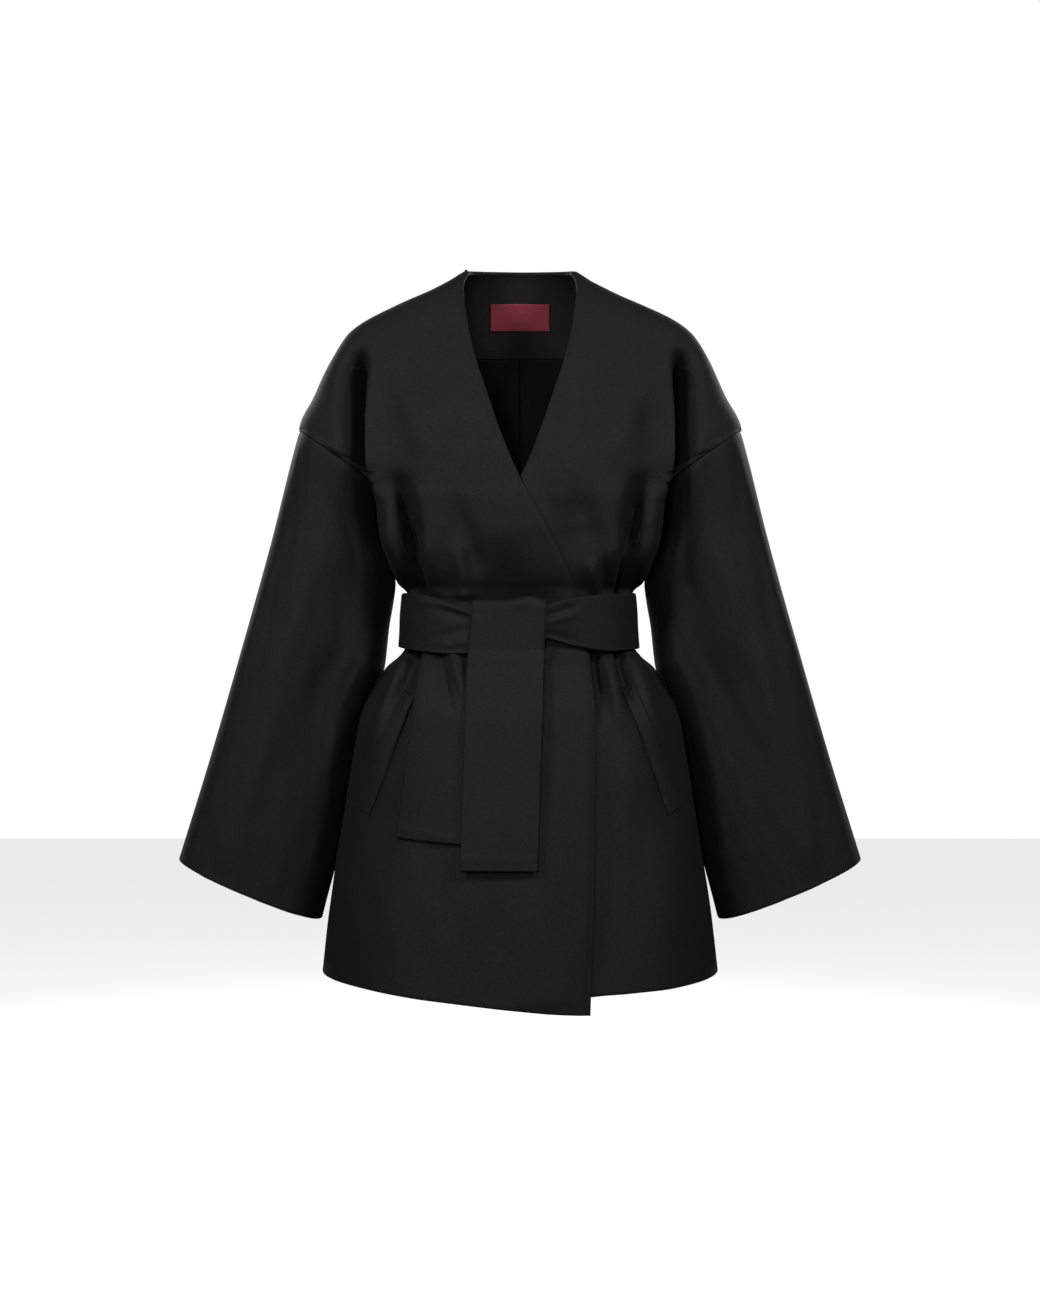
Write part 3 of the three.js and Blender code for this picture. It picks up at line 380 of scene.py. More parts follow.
# The front tail folds over this far from its hidden end, and bunches up there beside one edge
FOLD_OVER = 22
FOLD_OVER_REACH = 16
BUNCH_RISE = 4
BUNCH_X = 9
BUNCH_WIDTH = 14
FRONT_TAIL_FOLDS = rows(FOLD_NAMES, [
    (-46, -384, -52, -470, 0.9, 5, 9, 0.1, 0.6),
    (4, -376, -2, -430, -1.2, 8, 8, 0.1, 0.7),
    (-24, -380, -28, -560, 0.9, 14, 14, 0.2, 0.5),
    (-80, -641, 40, -641, 0.5, 5, 4, 0.01, 0.01),
])
REAR_TAIL_FOLDS = rows(FOLD_NAMES, [
    (-88, -418, -72, -494, -7.5, 7, 5, 0.03, 0.55),
    (-75, -418, -58, -484, 5, 4, 6, 0.03, 0.55),
    (-62, -418, -46, -470, -5, 4, 5, 0.03, 0.6),
    (-102, -424, -112, -540, 2, 7, 10, 0.1, 0.7),
    (-140, -611, -40, -617, 0.5, 5, 4, 0.01, 0.01),
])

# Pocket welts: the opening edge and the sewn edge
WELTS = {
    "right": rows("z open sewn", [
        (-467, -126, -112.5), (-530, -150.5, -137), (-592, -174.5, -161.5),
    ]),
    "left": rows("z open sewn", [
        (-459, 122.5, 111), (-525, 147, 134.5), (-592, 171, 159),
    ]),
}
WELT_ROWS = 90
WELT_COLUMNS = 10
WELT_END_SLOPE = 8
WELT_SEWN_WALL = 1.2

# Facing of the back neck, the lining under it, and the label on it
FACING_TOP = 1.4
FACING_BOTTOM = -79
FACING_SAG = 5
SAG_START = -50
SAG_SHAPE = 4
SAG_FADE = 20
FACING_REACH = 104
CENTRE_GAP = 0.01
CENTRE_COLUMN = 0.95
FACING_TAPER = 14
TAPER_START = -40
RIDGE_ROOM = 1
FACING_ROWS = 50
FACING_COLUMNS = 60
LINING_TOP = -79.8
LINING_BOTTOM = -328
LINING_ROWS = 90
LINING_COLUMNS = 90
# Columns beside the side seam that the lining leaves bare
LINING_SKIP = 3
LABEL_WIDTH = 70
LABEL_TOP = -28
LABEL_BOTTOM = -52.5
LABEL_ROWS = 16
LABEL_COLUMNS = 40


def smooth(start, end, value):
    """Grows from 0 to 1 between two values, and gently at both of them."""
    part = np.clip((value - start) / (end - start), 0, 1)
    return part * part * (3 - 2 * part)


def mix(start, end, part):
    return start + (end - start) * part


def signed_power(value, power):
    return np.sign(value) * np.abs(value) ** power


def unit(vectors):
    return vectors / np.maximum(np.linalg.norm(vectors, axis=-1, keepdims=True), 1e-12)


def read(table, column, at, along="z"):
    """Reads a column of a table as a smooth curve that never overshoots its rows."""
    order = np.argsort(table[along])
    places, values = table[along][order], table[column][order]
    steps = np.diff(places)
    slopes = np.diff(values) / steps
    before, after = slopes[:-1], slopes[1:]
    rising = before * after > 0
    inner = np.where(rising, 2 * before * after / np.where(rising, before + after, 1), 0)
    tangents = np.concatenate([slopes[:1], inner, slopes[-1:]])
    row = np.clip(np.searchsorted(places, at) - 1, 0, len(places) - 2)
    step = steps[row]
    part = np.clip((at - places[row]) / step, 0, 1)
    square, cube = part ** 2, part ** 3
    return (
        (2 * cube - 3 * square + 1) * values[row]
        + (cube - 2 * square + part) * step * tangents[row]
        + (3 * square - 2 * cube) * values[row + 1]
        + (cube - square) * step * tangents[row + 1]
    )


def folds(table, u, v, softness=0):
    """Height of the folds of a table at the places (u, v)."""
    height = np.zeros(np.broadcast(u, v).shape)
    for from_u, from_v, to_u, to_v, depth, left, right, grow, fade in zip(*table.values()):
        run_u, run_v = to_u - from_u, to_v - from_v
        length = math.hypot(run_u, run_v)
        along = ((u - from_u) * run_u + (v - from_v) * run_v) / length ** 2
        across = ((v - from_v) * run_u - (u - from_u) * run_v) / length
        width = np.hypot(np.where(across < 0, left, right), softness)
        strength = smooth(0, grow, along) * (1 - smooth(1 - fade, 1, along))
        height = height + depth * strength * np.exp(-((across / width) ** 2))
    return height


def ripples(u, v):
    """Unevenness of hanging cloth."""
    height = 0
    for size, u_wave, v_wave, phase in zip(*RIPPLES.values()):
        height = height + size * np.sin(u / u_wave * RIPPLE_RATE + v / v_wave * RIPPLE_RATE + phase)
    return height


def armhole_axis(side):
    """Direction square to the plane of an armhole, pointing from the sleeve to the body."""
    across = np.array([OUT_X - IN_X, OUT_Z - IN_Z]) / math.hypot(OUT_X - IN_X, OUT_Z - IN_Z)
    side = np.asarray(side, float)
    return np.stack([-side * across[1], 0 * side, 0 * side + across[0]], axis=-1)


def lay_in_armhole(normals, side):
    axis = armhole_axis(side)
    return normals - axis * np.sum(normals * axis, axis=-1, keepdims=True)


def contour(face, z):
    """Curve of a level section on one face, as in the part: its size and where it starts."""
    z = np.asarray(z, float)
    curve = {
        "half": read(SECTIONS, "half", z),
        "depth": read(SECTIONS, face, z),
        "square": read(SECTIONS, face + "_square", z),
    }
    half, depth, square = curve["half"], curve["depth"], curve["square"]
    middle = (OUT_Z + IN_Z) / 2
    turn = np.clip((z - middle) / (OUT_Z - middle), -1, 1)
    on_armhole = z > IN_Z
    armhole_x = IN_X + (OUT_X - IN_X) / 2 * (1 + turn)
    seam_x = np.where(on_armhole, armhole_x, half - read(DRAWN_IN, "by", z))
    seam_y = np.where(on_armhole, ARMHOLE_DEPTH * np.sqrt(1 - turn ** 2), 0)
    below = z < OUT_Z
    start = np.arccos(np.minimum(1, seam_x / half) ** (square / 2))
    curve["start"] = np.where(below, start, 0)
    curve["end"] = np.where(below, seam_x, half)
    curve["start_forward"] = np.where(below, depth * np.sin(start) ** (2 / square), 0)
    curve["pull"] = np.where(below, seam_y - curve["start_forward"], 0)
    curve["cut_away"] = np.where(below, seam_y, 0)
    return curve


def angle_at(curve, distance):
    """Plan angle at which a section is a given distance out from the middle."""
    share = np.clip(distance / curve["half"], -1, 1)
    return np.arccos(signed_power(share, curve["square"] / 2))


def front_edge(z):
    return read(FRONT_EDGE, "x", z)


def away_from(top, bottom, z):
    """Nothing between two heights, growing to all of a fold above and below them."""
    return smooth(top, top + FLAT_EASE, z) + smooth(bottom, bottom - FLAT_EASE, z)


def hem_drop(panel, x):
    if panel == "front_right":
        return RIGHT_HEM_DROP * smooth(RIGHT_DROP_FROM, RIGHT_DROP_TO, x)
    drop = LEFT_HEM_DROP if panel == "front_left" else BACK_HEM_DROP
    return drop * (1 - np.abs(x) / HEM_HALF_WIDTH)


def panel_point(panel, side, angle, row_height, softness=0):
    """Outer surface of a panel at a plan angle from its side and the height of its row."""
    face = "back" if panel == "back" else "front"
    face_sign = 1 if face == "back" else -1
    level = contour(face, row_height)
    level_x = side * level["half"] * signed_power(np.cos(angle), 2 / level["square"])
    z = row_height - hem_drop(panel, level_x) * smooth(DROP_START, SIDE_HEM, row_height)
    curve = contour(face, z)
    square = curve["square"]
    across = signed_power(np.cos(angle), 2 / square)
    forward = signed_power(np.sin(angle), 2 / square)
    x = side * curve["half"] * across
    from_seam = np.hypot(
        curve["half"] * across - curve["end"], curve["depth"] * forward - curve["start_forward"]
    )
    reach = BACK_BEND if face == "back" else read(FRONT_BEND, "reach", z)
    pull = curve["pull"] * np.maximum(0, 1 - from_seam / reach) ** 2
    y = face_sign * (curve["depth"] * forward + pull)
    normal_x = side * signed_power(across, square - 1) / curve["half"]
    normal_y = face_sign * signed_power(forward, square - 1) / curve["depth"]
    table = BACK_FOLDS if face == "back" else FRONT_FOLDS
    height = folds(table, x, z, softness) + ripples(x, z)
    top = FLAT_TOP if face == "back" else read(BELT_EDGES, "top", x, "x") + FLAT_ROOM
    ridges = away_from(top, FLAT_BOTTOM, z)
    hollows = away_from(HOLLOW_TOP, HOLLOW_BOTTOM, z)
    height = height * np.where(height > 0, ridges, hollows)
    ease = BACK_SEAM_EASE if face == "back" else FRONT_SEAM_EASE
    height = height * smooth(0, ease, angle - curve["start"])
    fold_length = np.hypot(normal_x * FOLD_TURN, normal_y)
    if face == "front":
        x = x + side * folds(SIDE_ROLLS, np.abs(x), z) * smooth(0, ROLL_EASE, from_seam)
    x = x + height * normal_x * FOLD_TURN / fold_length
    y = y + height * normal_y / fold_length
    out = -SEAM_DIP * np.exp(-((from_seam / SEAM_DIP_WIDTH) ** 2))
    if panel == "front_left":
        out = out - (COAT_WALL + LAP_GAP) * (1 - smooth(SINK_FULL, SINK_START, x - front_edge(z)))
        out = out - EDGE_ROLL * np.exp(-(((x + front_edge(z)) / EDGE_ROLL_WIDTH) ** 2))
    if panel == "front_right":
        out = out - EDGE_ROLL * np.exp(-(((x - front_edge(z)) / EDGE_ROLL_WIDTH) ** 2))
    length = np.hypot(normal_x, normal_y)
    rise = 0
    if panel == "back":
        middle_share = np.maximum(0, np.sin(angle)) ** RISE_SHAPE
        rise = BACK_NECK_RISE * middle_share * smooth(RISE_END, 0, z)
    x = x + normal_x / length * out
    y = y + normal_y / length * out
    return np.stack(np.broadcast_arrays(x, y, z + rise), axis=-1)


def panel_offset(panel, side, angle, z, distance, softness=0):
    """The same surface moved out along its own normal, or in where the distance is negative."""
    side, angle, z = np.broadcast_arrays(np.asarray(side, float), angle, np.asarray(z, float))
    up_step = np.where(z <= IN_Z, 0, NORMAL_STEP)
    down_step = np.where((z >= OUT_Z) & (z < 0), 0, NORMAL_STEP)
    across = (
        panel_point(panel, side, angle + NORMAL_TURN, z, softness)
        - panel_point(panel, side, angle - NORMAL_TURN, z, softness)
    )
    down = (
        panel_point(panel, side, angle, z - down_step, softness)
        - panel_point(panel, side, angle, z + up_step, softness)
    )
    points = panel_point(panel, side, angle, z, softness)
    normals = np.cross(across, down)
    on_side = np.abs(points[..., 1]) < SEAM_GAP + SEAM_DIP
    normals[..., 1] = np.where(on_side, 0, normals[..., 1])
    seam = np.stack([side * IN_X, 0 * side, 0 * side + IN_Z], axis=-1)
    from_plane = np.abs(np.sum((points - seam) * armhole_axis(side), axis=-1))
    at_armhole = (z <= OUT_Z) & (z >= IN_Z) & (from_plane < SEAM_GAP + SEAM_DIP)
    normals = np.where(at_armhole[..., None], lay_in_armhole(normals, side), normals)
    normals = unit(normals)
    facing = 1 if panel == "back" else -1
    outwards = normals[..., 0] * side * np.cos(angle) + normals[..., 1] * facing * np.sin(angle)
    normals = np.where(outwards[..., None] < 0, -normals, normals)
    return points + normals * np.asarray(distance)[..., None]


def row_angles(panel, side, z, start, end, columns, crowding=1.0):
    """Plan angles of the columns in one row. The armhole cuts off the outer ends of the rows."""
    angles = np.linspace(start, end, ROW_SAMPLES + 1)
    points = panel_point(panel, side, angles, z)
    steps = np.diff(points, axis=0) * [1, DEPTH_SHARE, 1]
    lengths = np.concatenate([[0], np.cumsum(np.linalg.norm(steps, axis=1))])
    whole = lengths[-1]
    free = whole - SEAM_GAP / 2
    cut_away = contour("back" if panel == "back" else "front", z)["cut_away"]
    inward = 1 - np.linspace(0, 1, columns + 1) ** crowding
    targets = whole - (free + cut_away) * inward + cut_away * inward ** CUT_CROWDING
    return np.interp(targets, lengths, angles)


def coat_heights():
    """Heights of the rows of points down the panels."""
    shoulder = np.linspace(TOP_ROW, OUT_Z, SHOULDER_ROWS + 1)
    middle, reach = (OUT_Z + IN_Z) / 2, (OUT_Z - IN_Z) / 2
    armhole = middle + reach * np.cos(np.linspace(0, math.pi, ARMHOLE_ROWS + 1)[1:])
    heights = [*shoulder, *armhole]
    for end, count in zip(*ROW_STRETCHES.values()):
        heights.extend(np.linspace(heights[-1], end, int(count) + 1)[1:])
    return np.array(heights)


def make_mesh(name, points, faces, material):
    mesh = bpy.data.meshes.new(name)
    mesh.from_pydata((points * MM).tolist(), [], faces)
    mesh.polygons.foreach_set("use_smooth", [True] * len(mesh.polygons))
    mesh.materials.append(material)
    piece = bpy.data.objects.new(name, mesh)
    bpy.context.scene.collection.objects.link(piece)
    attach(piece, "root")
    return piece


def edge_arc(outer, inner, border, inward, roll):
    """Rounds a border of a wall: pulls its two lips in, and returns the points of the arcs."""
    top, low = outer[border], inner[border]
    middle, half = (top + low) / 2, (top - low) / 2
    away = middle - (outer[inward] + inner[inward]) / 2
    room = np.linalg.norm(away, axis=-1, keepdims=True)
    away = unit(away)
    pull = np.minimum(roll * np.linalg.norm(half, axis=-1, keepdims=True), EDGE_PULL * room)
    outer[border] = top - away * pull
    inner[border] = low - away * pull
    turns = np.linspace(0, math.pi, EDGE_STEPS + 2)[1:-1]
    return [
        middle - away * pull + half * math.cos(turn) + away * pull * math.sin(turn)
        for turn in turns
    ]


def wall(name, outer, inner, material, tube=False, rolls=PLAIN_ROLLS):
    """A closed shell between two grids of points. Its top, right, low and left edges are rounded
    by their shares in rolls."""
    outer, inner = outer.copy(), inner.copy()
    count, columns = outer.shape[:2]
    numbers = np.arange(count * columns).reshape(count, columns)
    shift = count * columns
    faces = []

    def strips(grid):
        corners = [grid[:-1, :-1], grid[:-1, 1:], grid[1:, 1:], grid[1:, :-1]]
        faces.append(np.stack(corners, -1).reshape(-1, 4))

    closed = np.hstack([numbers, numbers[:, :1]]) if tube else numbers
    strips(closed)
    strips(closed[:, ::-1] + shift)
    extra = []

    def band(border_rows, border_columns, inward_rows, inward_columns, roll):
        border, inward = (border_rows, border_columns), (inward_rows, inward_columns)
        arcs = edge_arc(outer, inner, border, inward, roll)
        first = numbers[border]
        rings = [first]
        for arc in arcs:
            rings.append(2 * shift + sum(len(part) for part in extra) + np.arange(len(first)))
            extra.append(arc)
        rings.append(first + shift)
        ring = np.array(rings)
        strips(np.hstack([ring, ring[:, :1]])[:, ::-1])

    last_row, last_column = count - 1, columns - 1
    if tube:
        around = np.arange(columns)
        band(0 * around, around, 0 * around + 1, around, rolls[0])
        band(0 * around + last_row, around[::-1], 0 * around + last_row - 1, around[::-1], rolls[2])
    else:
        top = [(0, column) for column in range(columns)]
        right = [(row, last_column) for row in range(1, count)]
        low = [(last_row, column) for column in range(last_column - 1, -1, -1)]
        left = [(row, 0) for row in range(last_row - 1, 0, -1)]
        places = np.array(top + right + low + left)
        inward = np.clip(places, [1, 1], [last_row - 1, last_column - 1])
        roll = np.concatenate([
            np.full(len(part), share) for part, share in zip((top, right, low, left), rolls)
        ])[:, None]
        band(places[:, 0], places[:, 1], inward[:, 0], inward[:, 1], roll)
    points = np.concatenate([outer.reshape(-1, 3), inner.reshape(-1, 3), *extra])
    faces = np.concatenate(faces)
    corners = points[faces]
    volume = np.sum(corners[:, 0] * np.cross(corners[:, 1], corners[:, 2]))
    volume += np.sum(corners[:, 0] * np.cross(corners[:, 2], corners[:, 3]))
    if volume < 0:
        faces = faces[:, ::-1]
    return make_mesh(name, points, faces.tolist(), material)


# Materials
def node_setter(material):
    material.use_nodes = True
    nodes, links = material.node_tree.nodes, material.node_tree.links

    def add(kind, **values):
        node = nodes.new(kind)
        for name, value in values.items():
            if hasattr(node, name):
                setattr(node, name, value)
            else:
                node.inputs[name.replace("_", " ")].default_value = value
        return node

    return nodes["Principled BSDF"], add, links.new


def ramp(add, low_place, low_color, high_place, high_color):
    node = add("ShaderNodeValToRGB")
    first, second = node.color_ramp.elements
    first.position, second.position = low_place, high_place
    first.color, second.color = (*low_color, 1), (*high_color, 1)
    return node


def make_wool():
    """Melton wool: felted short nap, a faint mottle of darker and paler fibres."""
    wool = bpy.data.materials.new("melton_wool")
    shader, add, link = node_setter(wool)
    place = add("ShaderNodeTexCoord")
    mottle = add("ShaderNodeTexNoise", Scale=420, Detail=6, Roughness=0.75)
    cloud = add("ShaderNodeTexNoise", Scale=26, Detail=3, Roughness=0.5)
    fibre = add("ShaderNodeTexNoise", Scale=1500, Detail=2, Roughness=0.6)
    felt = add("ShaderNodeTexNoise", Scale=620, Detail=4, Roughness=0.65)
    for texture in (mottle, cloud, fibre, felt):
        link(place.outputs["Object"], texture.inputs["Vector"])
    fleck = ramp(add, 0.36, (0.0028, 0.0028, 0.0032), 0.68, (0.0098, 0.0099, 0.0116))
    link(mottle.outputs["Fac"], fleck.inputs["Fac"])
    shade = ramp(add, 0.3, (0.86, 0.86, 0.87), 0.72, (1.1, 1.1, 1.12))
    link(cloud.outputs["Fac"], shade.inputs["Fac"])
    tint = add("ShaderNodeMix", data_type="RGBA", blend_type="MULTIPLY")
    tint.inputs["Factor"].default_value = 1
    link(fleck.outputs["Color"], tint.inputs[6])
    link(shade.outputs["Color"], tint.inputs[7])
    link(tint.outputs[2], shader.inputs["Base Color"])
    worn = ramp(add, 0.3, (0.72, 0.72, 0.72), 0.7, (0.84, 0.84, 0.84))
    link(felt.outputs["Fac"], worn.inputs["Fac"])
    link(worn.outputs["Color"], shader.inputs["Roughness"])
    coarse = add("ShaderNodeBump", Strength=0.45, Distance=0.00028)
    fine = add("ShaderNodeBump", Strength=0.4, Distance=0.0001)
    link(felt.outputs["Fac"], coarse.inputs["Height"])
    link(fibre.outputs["Fac"], fine.inputs["Height"])
    link(coarse.outputs["Normal"], fine.inputs["Normal"])
    link(fine.outputs["Normal"], shader.inputs["Normal"])
    shader.inputs["Specular IOR Level"].default_value = 0.35
    shader.inputs["Sheen Weight"].default_value = 0.004
    shader.inputs["Sheen Roughness"].default_value = 0.5
    shader.inputs["Sheen Tint"].default_value = (0.72, 0.75, 0.85, 1)
    return wool


def make_satin():
    """Lining: a smooth black twill with a soft gleam."""
    satin = bpy.data.materials.new("lining_satin")
    shader, add, link = node_setter(satin)
    place = add("ShaderNodeTexCoord")
    turned = add("ShaderNodeMapping")
    turned.inputs["Rotation"].default_value = (0, math.radians(30), 0)
    twill = add("ShaderNodeTexWave", Scale=420, Distortion=0.6, Detail=1)
    cloud = add("ShaderNodeTexNoise", Scale=60, Detail=2)
    link(place.outputs["Object"], turned.inputs["Vector"])
    link(turned.outputs["Vector"], twill.inputs["Vector"])
    link(place.outputs["Object"], cloud.inputs["Vector"])
    shade = ramp(add, 0.3, (0.003, 0.003, 0.0034), 0.8, (0.0046, 0.0046, 0.0052))
    link(cloud.outputs["Fac"], shade.inputs["Fac"])
    link(shade.outputs["Color"], shader.inputs["Base Color"])
    bump = add("ShaderNodeBump", Strength=0.25, Distance=0.0001)
    link(twill.outputs["Fac"], bump.inputs["Height"])
    link(bump.outputs["Normal"], shader.inputs["Normal"])
    shader.inputs["Roughness"].default_value = 0.6
    shader.inputs["Specular IOR Level"].default_value = 0.12
    return satin


def make_label_cloth():
    """Woven label: dark red with fine ribs."""
    woven = bpy.data.materials.new("label_weave")
    shader, add, link = node_setter(woven)
    place = add("ShaderNodeTexCoord")
    ribs = add("ShaderNodeTexWave", Scale=260, Distortion=0.4, Detail=1, bands_direction="Z")
    threads = add("ShaderNodeTexNoise", Scale=900, Detail=3)
    link(place.outputs["Object"], ribs.inputs["Vector"])
    link(place.outputs["Object"], threads.inputs["Vector"])
    shade = ramp(add, 0.25, (0.19, 0.0115, 0.026), 0.8, (0.34, 0.024, 0.054))
    link(threads.outputs["Fac"], shade.inputs["Fac"])
    link(shade.outputs["Color"], shader.inputs["Base Color"])
    bump = add("ShaderNodeBump", Strength=0.5, Distance=0.00015)
    link(ribs.outputs["Fac"], bump.inputs["Height"])
    link(bump.outputs["Normal"], shader.inputs["Normal"])
    shader.inputs["Roughness"].default_value = 0.62
    shader.inputs["Sheen Weight"].default_value = 0.15
    return woven


WOOL = make_wool()
SATIN = make_satin()
LABEL_CLOTH = make_label_cloth()


# Panels
def panel_wall(name, panel, side, angles, heights, rolls):
    outer = panel_offset(panel, side, angles, heights, 0)
    inner = panel_offset(panel, side, angles, heights, -COAT_WALL, INNER_SOFTNESS)
    return wall(name, outer, inner, WOOL, rolls=rolls)


def make_front(panel, side):
    heights = coat_heights()
    angles = []
    for z in heights:
        curve = contour("front", z)
        edge = angle_at(curve, -front_edge(z))
        start = curve["start"]
        angles.append(row_angles(panel, side, z, start, edge, FRONT_COLUMNS, CROWDING))
    heights, angles = heights[:, None], np.array(angles)
    return panel_wall("wool_" + panel, panel, side, angles, heights, FRONT_ROLLS)


def make_back():
    heights = coat_heights()
    angles = []
    for z in heights:
        start = contour("back", z)["start"]
        half = row_angles("back", 1, z, start, math.pi / 2, BACK_COLUMNS, CROWDING)
        angles.append(np.concatenate([half, half[-2::-1]]))
    side = np.where(np.arange(2 * BACK_COLUMNS + 1) <= BACK_COLUMNS, -1, 1)
    heights, angles = heights[:, None], np.array(angles)
    return panel_wall("wool_back", "back", side, angles, heights, BACK_ROLLS)


# Sleeves
def sleeve_point(side, along, angle, softness=0):
    """Outer surface of a sleeve at a part of its length and an angle round it."""
    out_z = mix(OUT_Z, SLEEVE_OUTER["z"][-1], along)
    in_z = mix(IN_Z, SLEEVE_INNER["z"][-1], along)
    out_x = read(SLEEVE_OUTER, "x", out_z)
    beside = contour("front", in_z)["end"] + SLEEVE_CLEARANCE * smooth(0, CLEARANCE_EASE, along)
    in_x = np.maximum(read(SLEEVE_INNER, "x", in_z), beside)
    depth = read(SLEEVE_FORM, "depth", along, "along")
    square = read(SLEEVE_FORM, "square", along, "along")
    lean = read(SLEEVE_FORM, "lean", along, "along")
    across = signed_power(np.cos(angle), 2 / square)
    forward = signed_power(np.sin(angle), 2 / square)
    outward = (1 + across) / 2
    u, v = np.degrees(angle) % 360, 100 * along
    height = folds(SLEEVE_FOLDS, u, v, softness)
    height = height + ripples(ROUND_LENGTH * u * side, PART_LENGTH * v)
    height = height * smooth(0, SLEEVE_SEAM_EASE, along)
    dip = SEAM_DIP * np.exp(-((along * SLEEVE_LENGTH / SEAM_DIP_WIDTH) ** 2))
    size = 1 - dip / depth
    x = side * (mix(in_x, out_x, 0.5) + (outward - 0.5) * (out_x - in_x) * size)
    y = lean * (1 - outward) - (depth * size + height) * forward
    points = np.stack(np.broadcast_arrays(x, y, mix(in_z, out_z, outward)), axis=-1)
    return points - armhole_axis(side) * SEAM_GAP


def sleeve_offset(side, along, angle, distance, softness=0):
    around = (
        sleeve_point(side, along, angle + SLEEVE_TURN, softness)
        - sleeve_point(side, along, angle - SLEEVE_TURN, softness)
    )
    down = (
        sleeve_point(side, np.minimum(1, along + SLEEVE_STEP), angle, softness)
        - sleeve_point(side, np.maximum(0, along - SLEEVE_STEP), angle, softness)
    )
    normals = np.cross(around, down) * side
    at_seam = np.broadcast_to(along == 0, normals.shape[:-1])[..., None]
    normals = unit(np.where(at_seam, lay_in_armhole(normals, side), normals))
    return sleeve_point(side, along, angle, softness) + normals * distance


def make_sleeve(name, side):
    along = (np.linspace(0, 1, SLEEVE_ROWS + 1) ** SLEEVE_CROWDING)[:, None]
    angle = np.linspace(0, 2 * math.pi, SLEEVE_COLUMNS + 1)[None, :-1]
    outer = sleeve_offset(side, along, angle, 0)
    inner = sleeve_offset(side, along, angle, -COAT_WALL, INNER_SOFTNESS)
    return wall(name, outer, inner, WOOL, tube=True, rolls=SLEEVE_ROLLS)


# Belt
def waist_point(degrees, z, distance):
    """A point off the waist, at a plan angle counted from the wearer's left side round the back."""
    angle = np.radians(degrees)
    back = np.sin(angle) >= 0
    behind, before = contour("back", z), contour("front", z)
    half, depth, square = (
        np.where(back, behind[key], before[key]) for key in ("half", "depth", "square")
    )
    across = signed_power(np.cos(angle), 2 / square)
    forward = signed_power(np.sin(angle), 2 / square)
    normal_x = signed_power(across, square - 1) / half
    normal_y = signed_power(forward, square - 1) / depth
    length = np.hypot(normal_x, normal_y)
    x = half * across + normal_x / length * distance
    y = depth * forward + normal_y / length * distance
    return np.stack(np.broadcast_arrays(x, y, z), axis=-1)


def make_band():
    degrees = np.linspace(-BAND_END_LEFT, 180 + BAND_END_RIGHT, BAND_COLUMNS + 1)[None, :]
    across = np.linspace(0, 1, BAND_ROWS + 1)[:, None]
    middle = waist_point(degrees, BELT_MIDDLE, 0)
    x, front = middle[..., 0], middle[..., 1] < 0
    top = np.where(front, read(BELT_EDGES, "top", x, "x"), BELT_TOP)
    bottom = np.where(front, read(BELT_EDGES, "bottom", x, "x"), BELT_BOTTOM)
    room_left = smooth(TAIL_ROOM_LEFT - TAIL_ROOM_EASE, TAIL_ROOM_LEFT + TAIL_ROOM_EASE, x)
    room_right = 1 - smooth(TAIL_ROOM_RIGHT - TAIL_ROOM_EASE, TAIL_ROOM_RIGHT + TAIL_ROOM_EASE, x)
    room = np.where(front, TAIL_ROOM * room_left * room_right, 0)
    z = mix(top, bottom, across)
    uneven = BAND_UNEVEN * ripples(x * BAND_WAVES_X, z * BAND_WAVES_Z)
    crease = np.where(front, folds(BELT_FOLDS, x, z), uneven)
    off = LAYER_GAP + room + BELT_BULGE * np.sin(math.pi * across) ** BULGE_SHAPE
    inner = waist_point(degrees, z, np.maximum(LAYER_GAP, off + np.minimum(crease, 0)))
    outer = waist_point(degrees, z, off + crease + BELT_WALL)
    return wall("wool_belt_band", outer, inner, WOOL)


def front_depth(x, z):
    """Front surface of the coat without its folds, under a point of a tail."""
    curve = contour("front", z)
    square = curve["square"]
    return curve["depth"] * (1 - (np.abs(x) / curve["half"]) ** square) ** (1 / square)


def make_tail(name, table, fold_table, slope, bunch):
    """A strip of belt that hangs down the front, from the rows of its table."""
    steps = np.hypot(np.diff(table["z"]), np.diff(table["off"]))
    path = dict(table, length=np.concatenate([[0], np.cumsum(steps)]))
    length = np.linspace(0, path["length"][-1], TAIL_ROWS + 1)[:, None]
    across = np.linspace(0, 1, TAIL_COLUMNS + 1)[None, :]
    off, z, left, right = (
        read(path, key, length, "length") for key in ("off", "z", "left", "right")
    )
    run_off, run_z = np.gradient(off[:, 0])[:, None], np.gradient(z[:, 0])[:, None]
    run = np.hypot(run_off, run_z)
    x = mix(left, right, across)
    swell = folds(fold_table, x, z) * smooth(0, BELT_WALL, length - FOLD_OVER * bunch)
    near_top = np.exp(-(((length - FOLD_OVER) / FOLD_OVER_REACH) ** 2))
    top = near_top * BUNCH_RISE * np.exp(-(((x - BUNCH_X) / BUNCH_WIDTH) ** 2))
    tilt = slope * across * smooth(TILT_START, 1, length / path["length"][-1])

    def layer(half):
        away = off - run_z / run * half + np.where(half > 0, swell, np.minimum(0, swell))
        height = z + run_off / run * half - tilt + top * bunch
        depth = front_depth(x, np.minimum(height, z)) + away
        return np.stack(np.broadcast_arrays(x, -depth, height), axis=-1)

    return wall(name, layer(BELT_WALL / 2), layer(-BELT_WALL / 2), WOOL)


def make_welt(name, panel, side, table):
    z = np.linspace(table["z"][0], table["z"][-1], WELT_ROWS + 1)[:, None]
    across = np.linspace(0, 1, WELT_COLUMNS + 1)[None, :]
    x = mix(read(table, "open", z), read(table, "sewn", z), across)
    height = z - WELT_END_SLOPE * across
    angle = angle_at(contour("front", height), np.abs(x))
    thick = mix(WELT_WALL, WELT_SEWN_WALL, across ** 2)
    outer = panel_offset(panel, side, angle, height, LAYER_GAP + thick)
    inner = panel_offset(panel, side, angle, height, LAYER_GAP)
    return wall(name, outer, inner, WOOL)


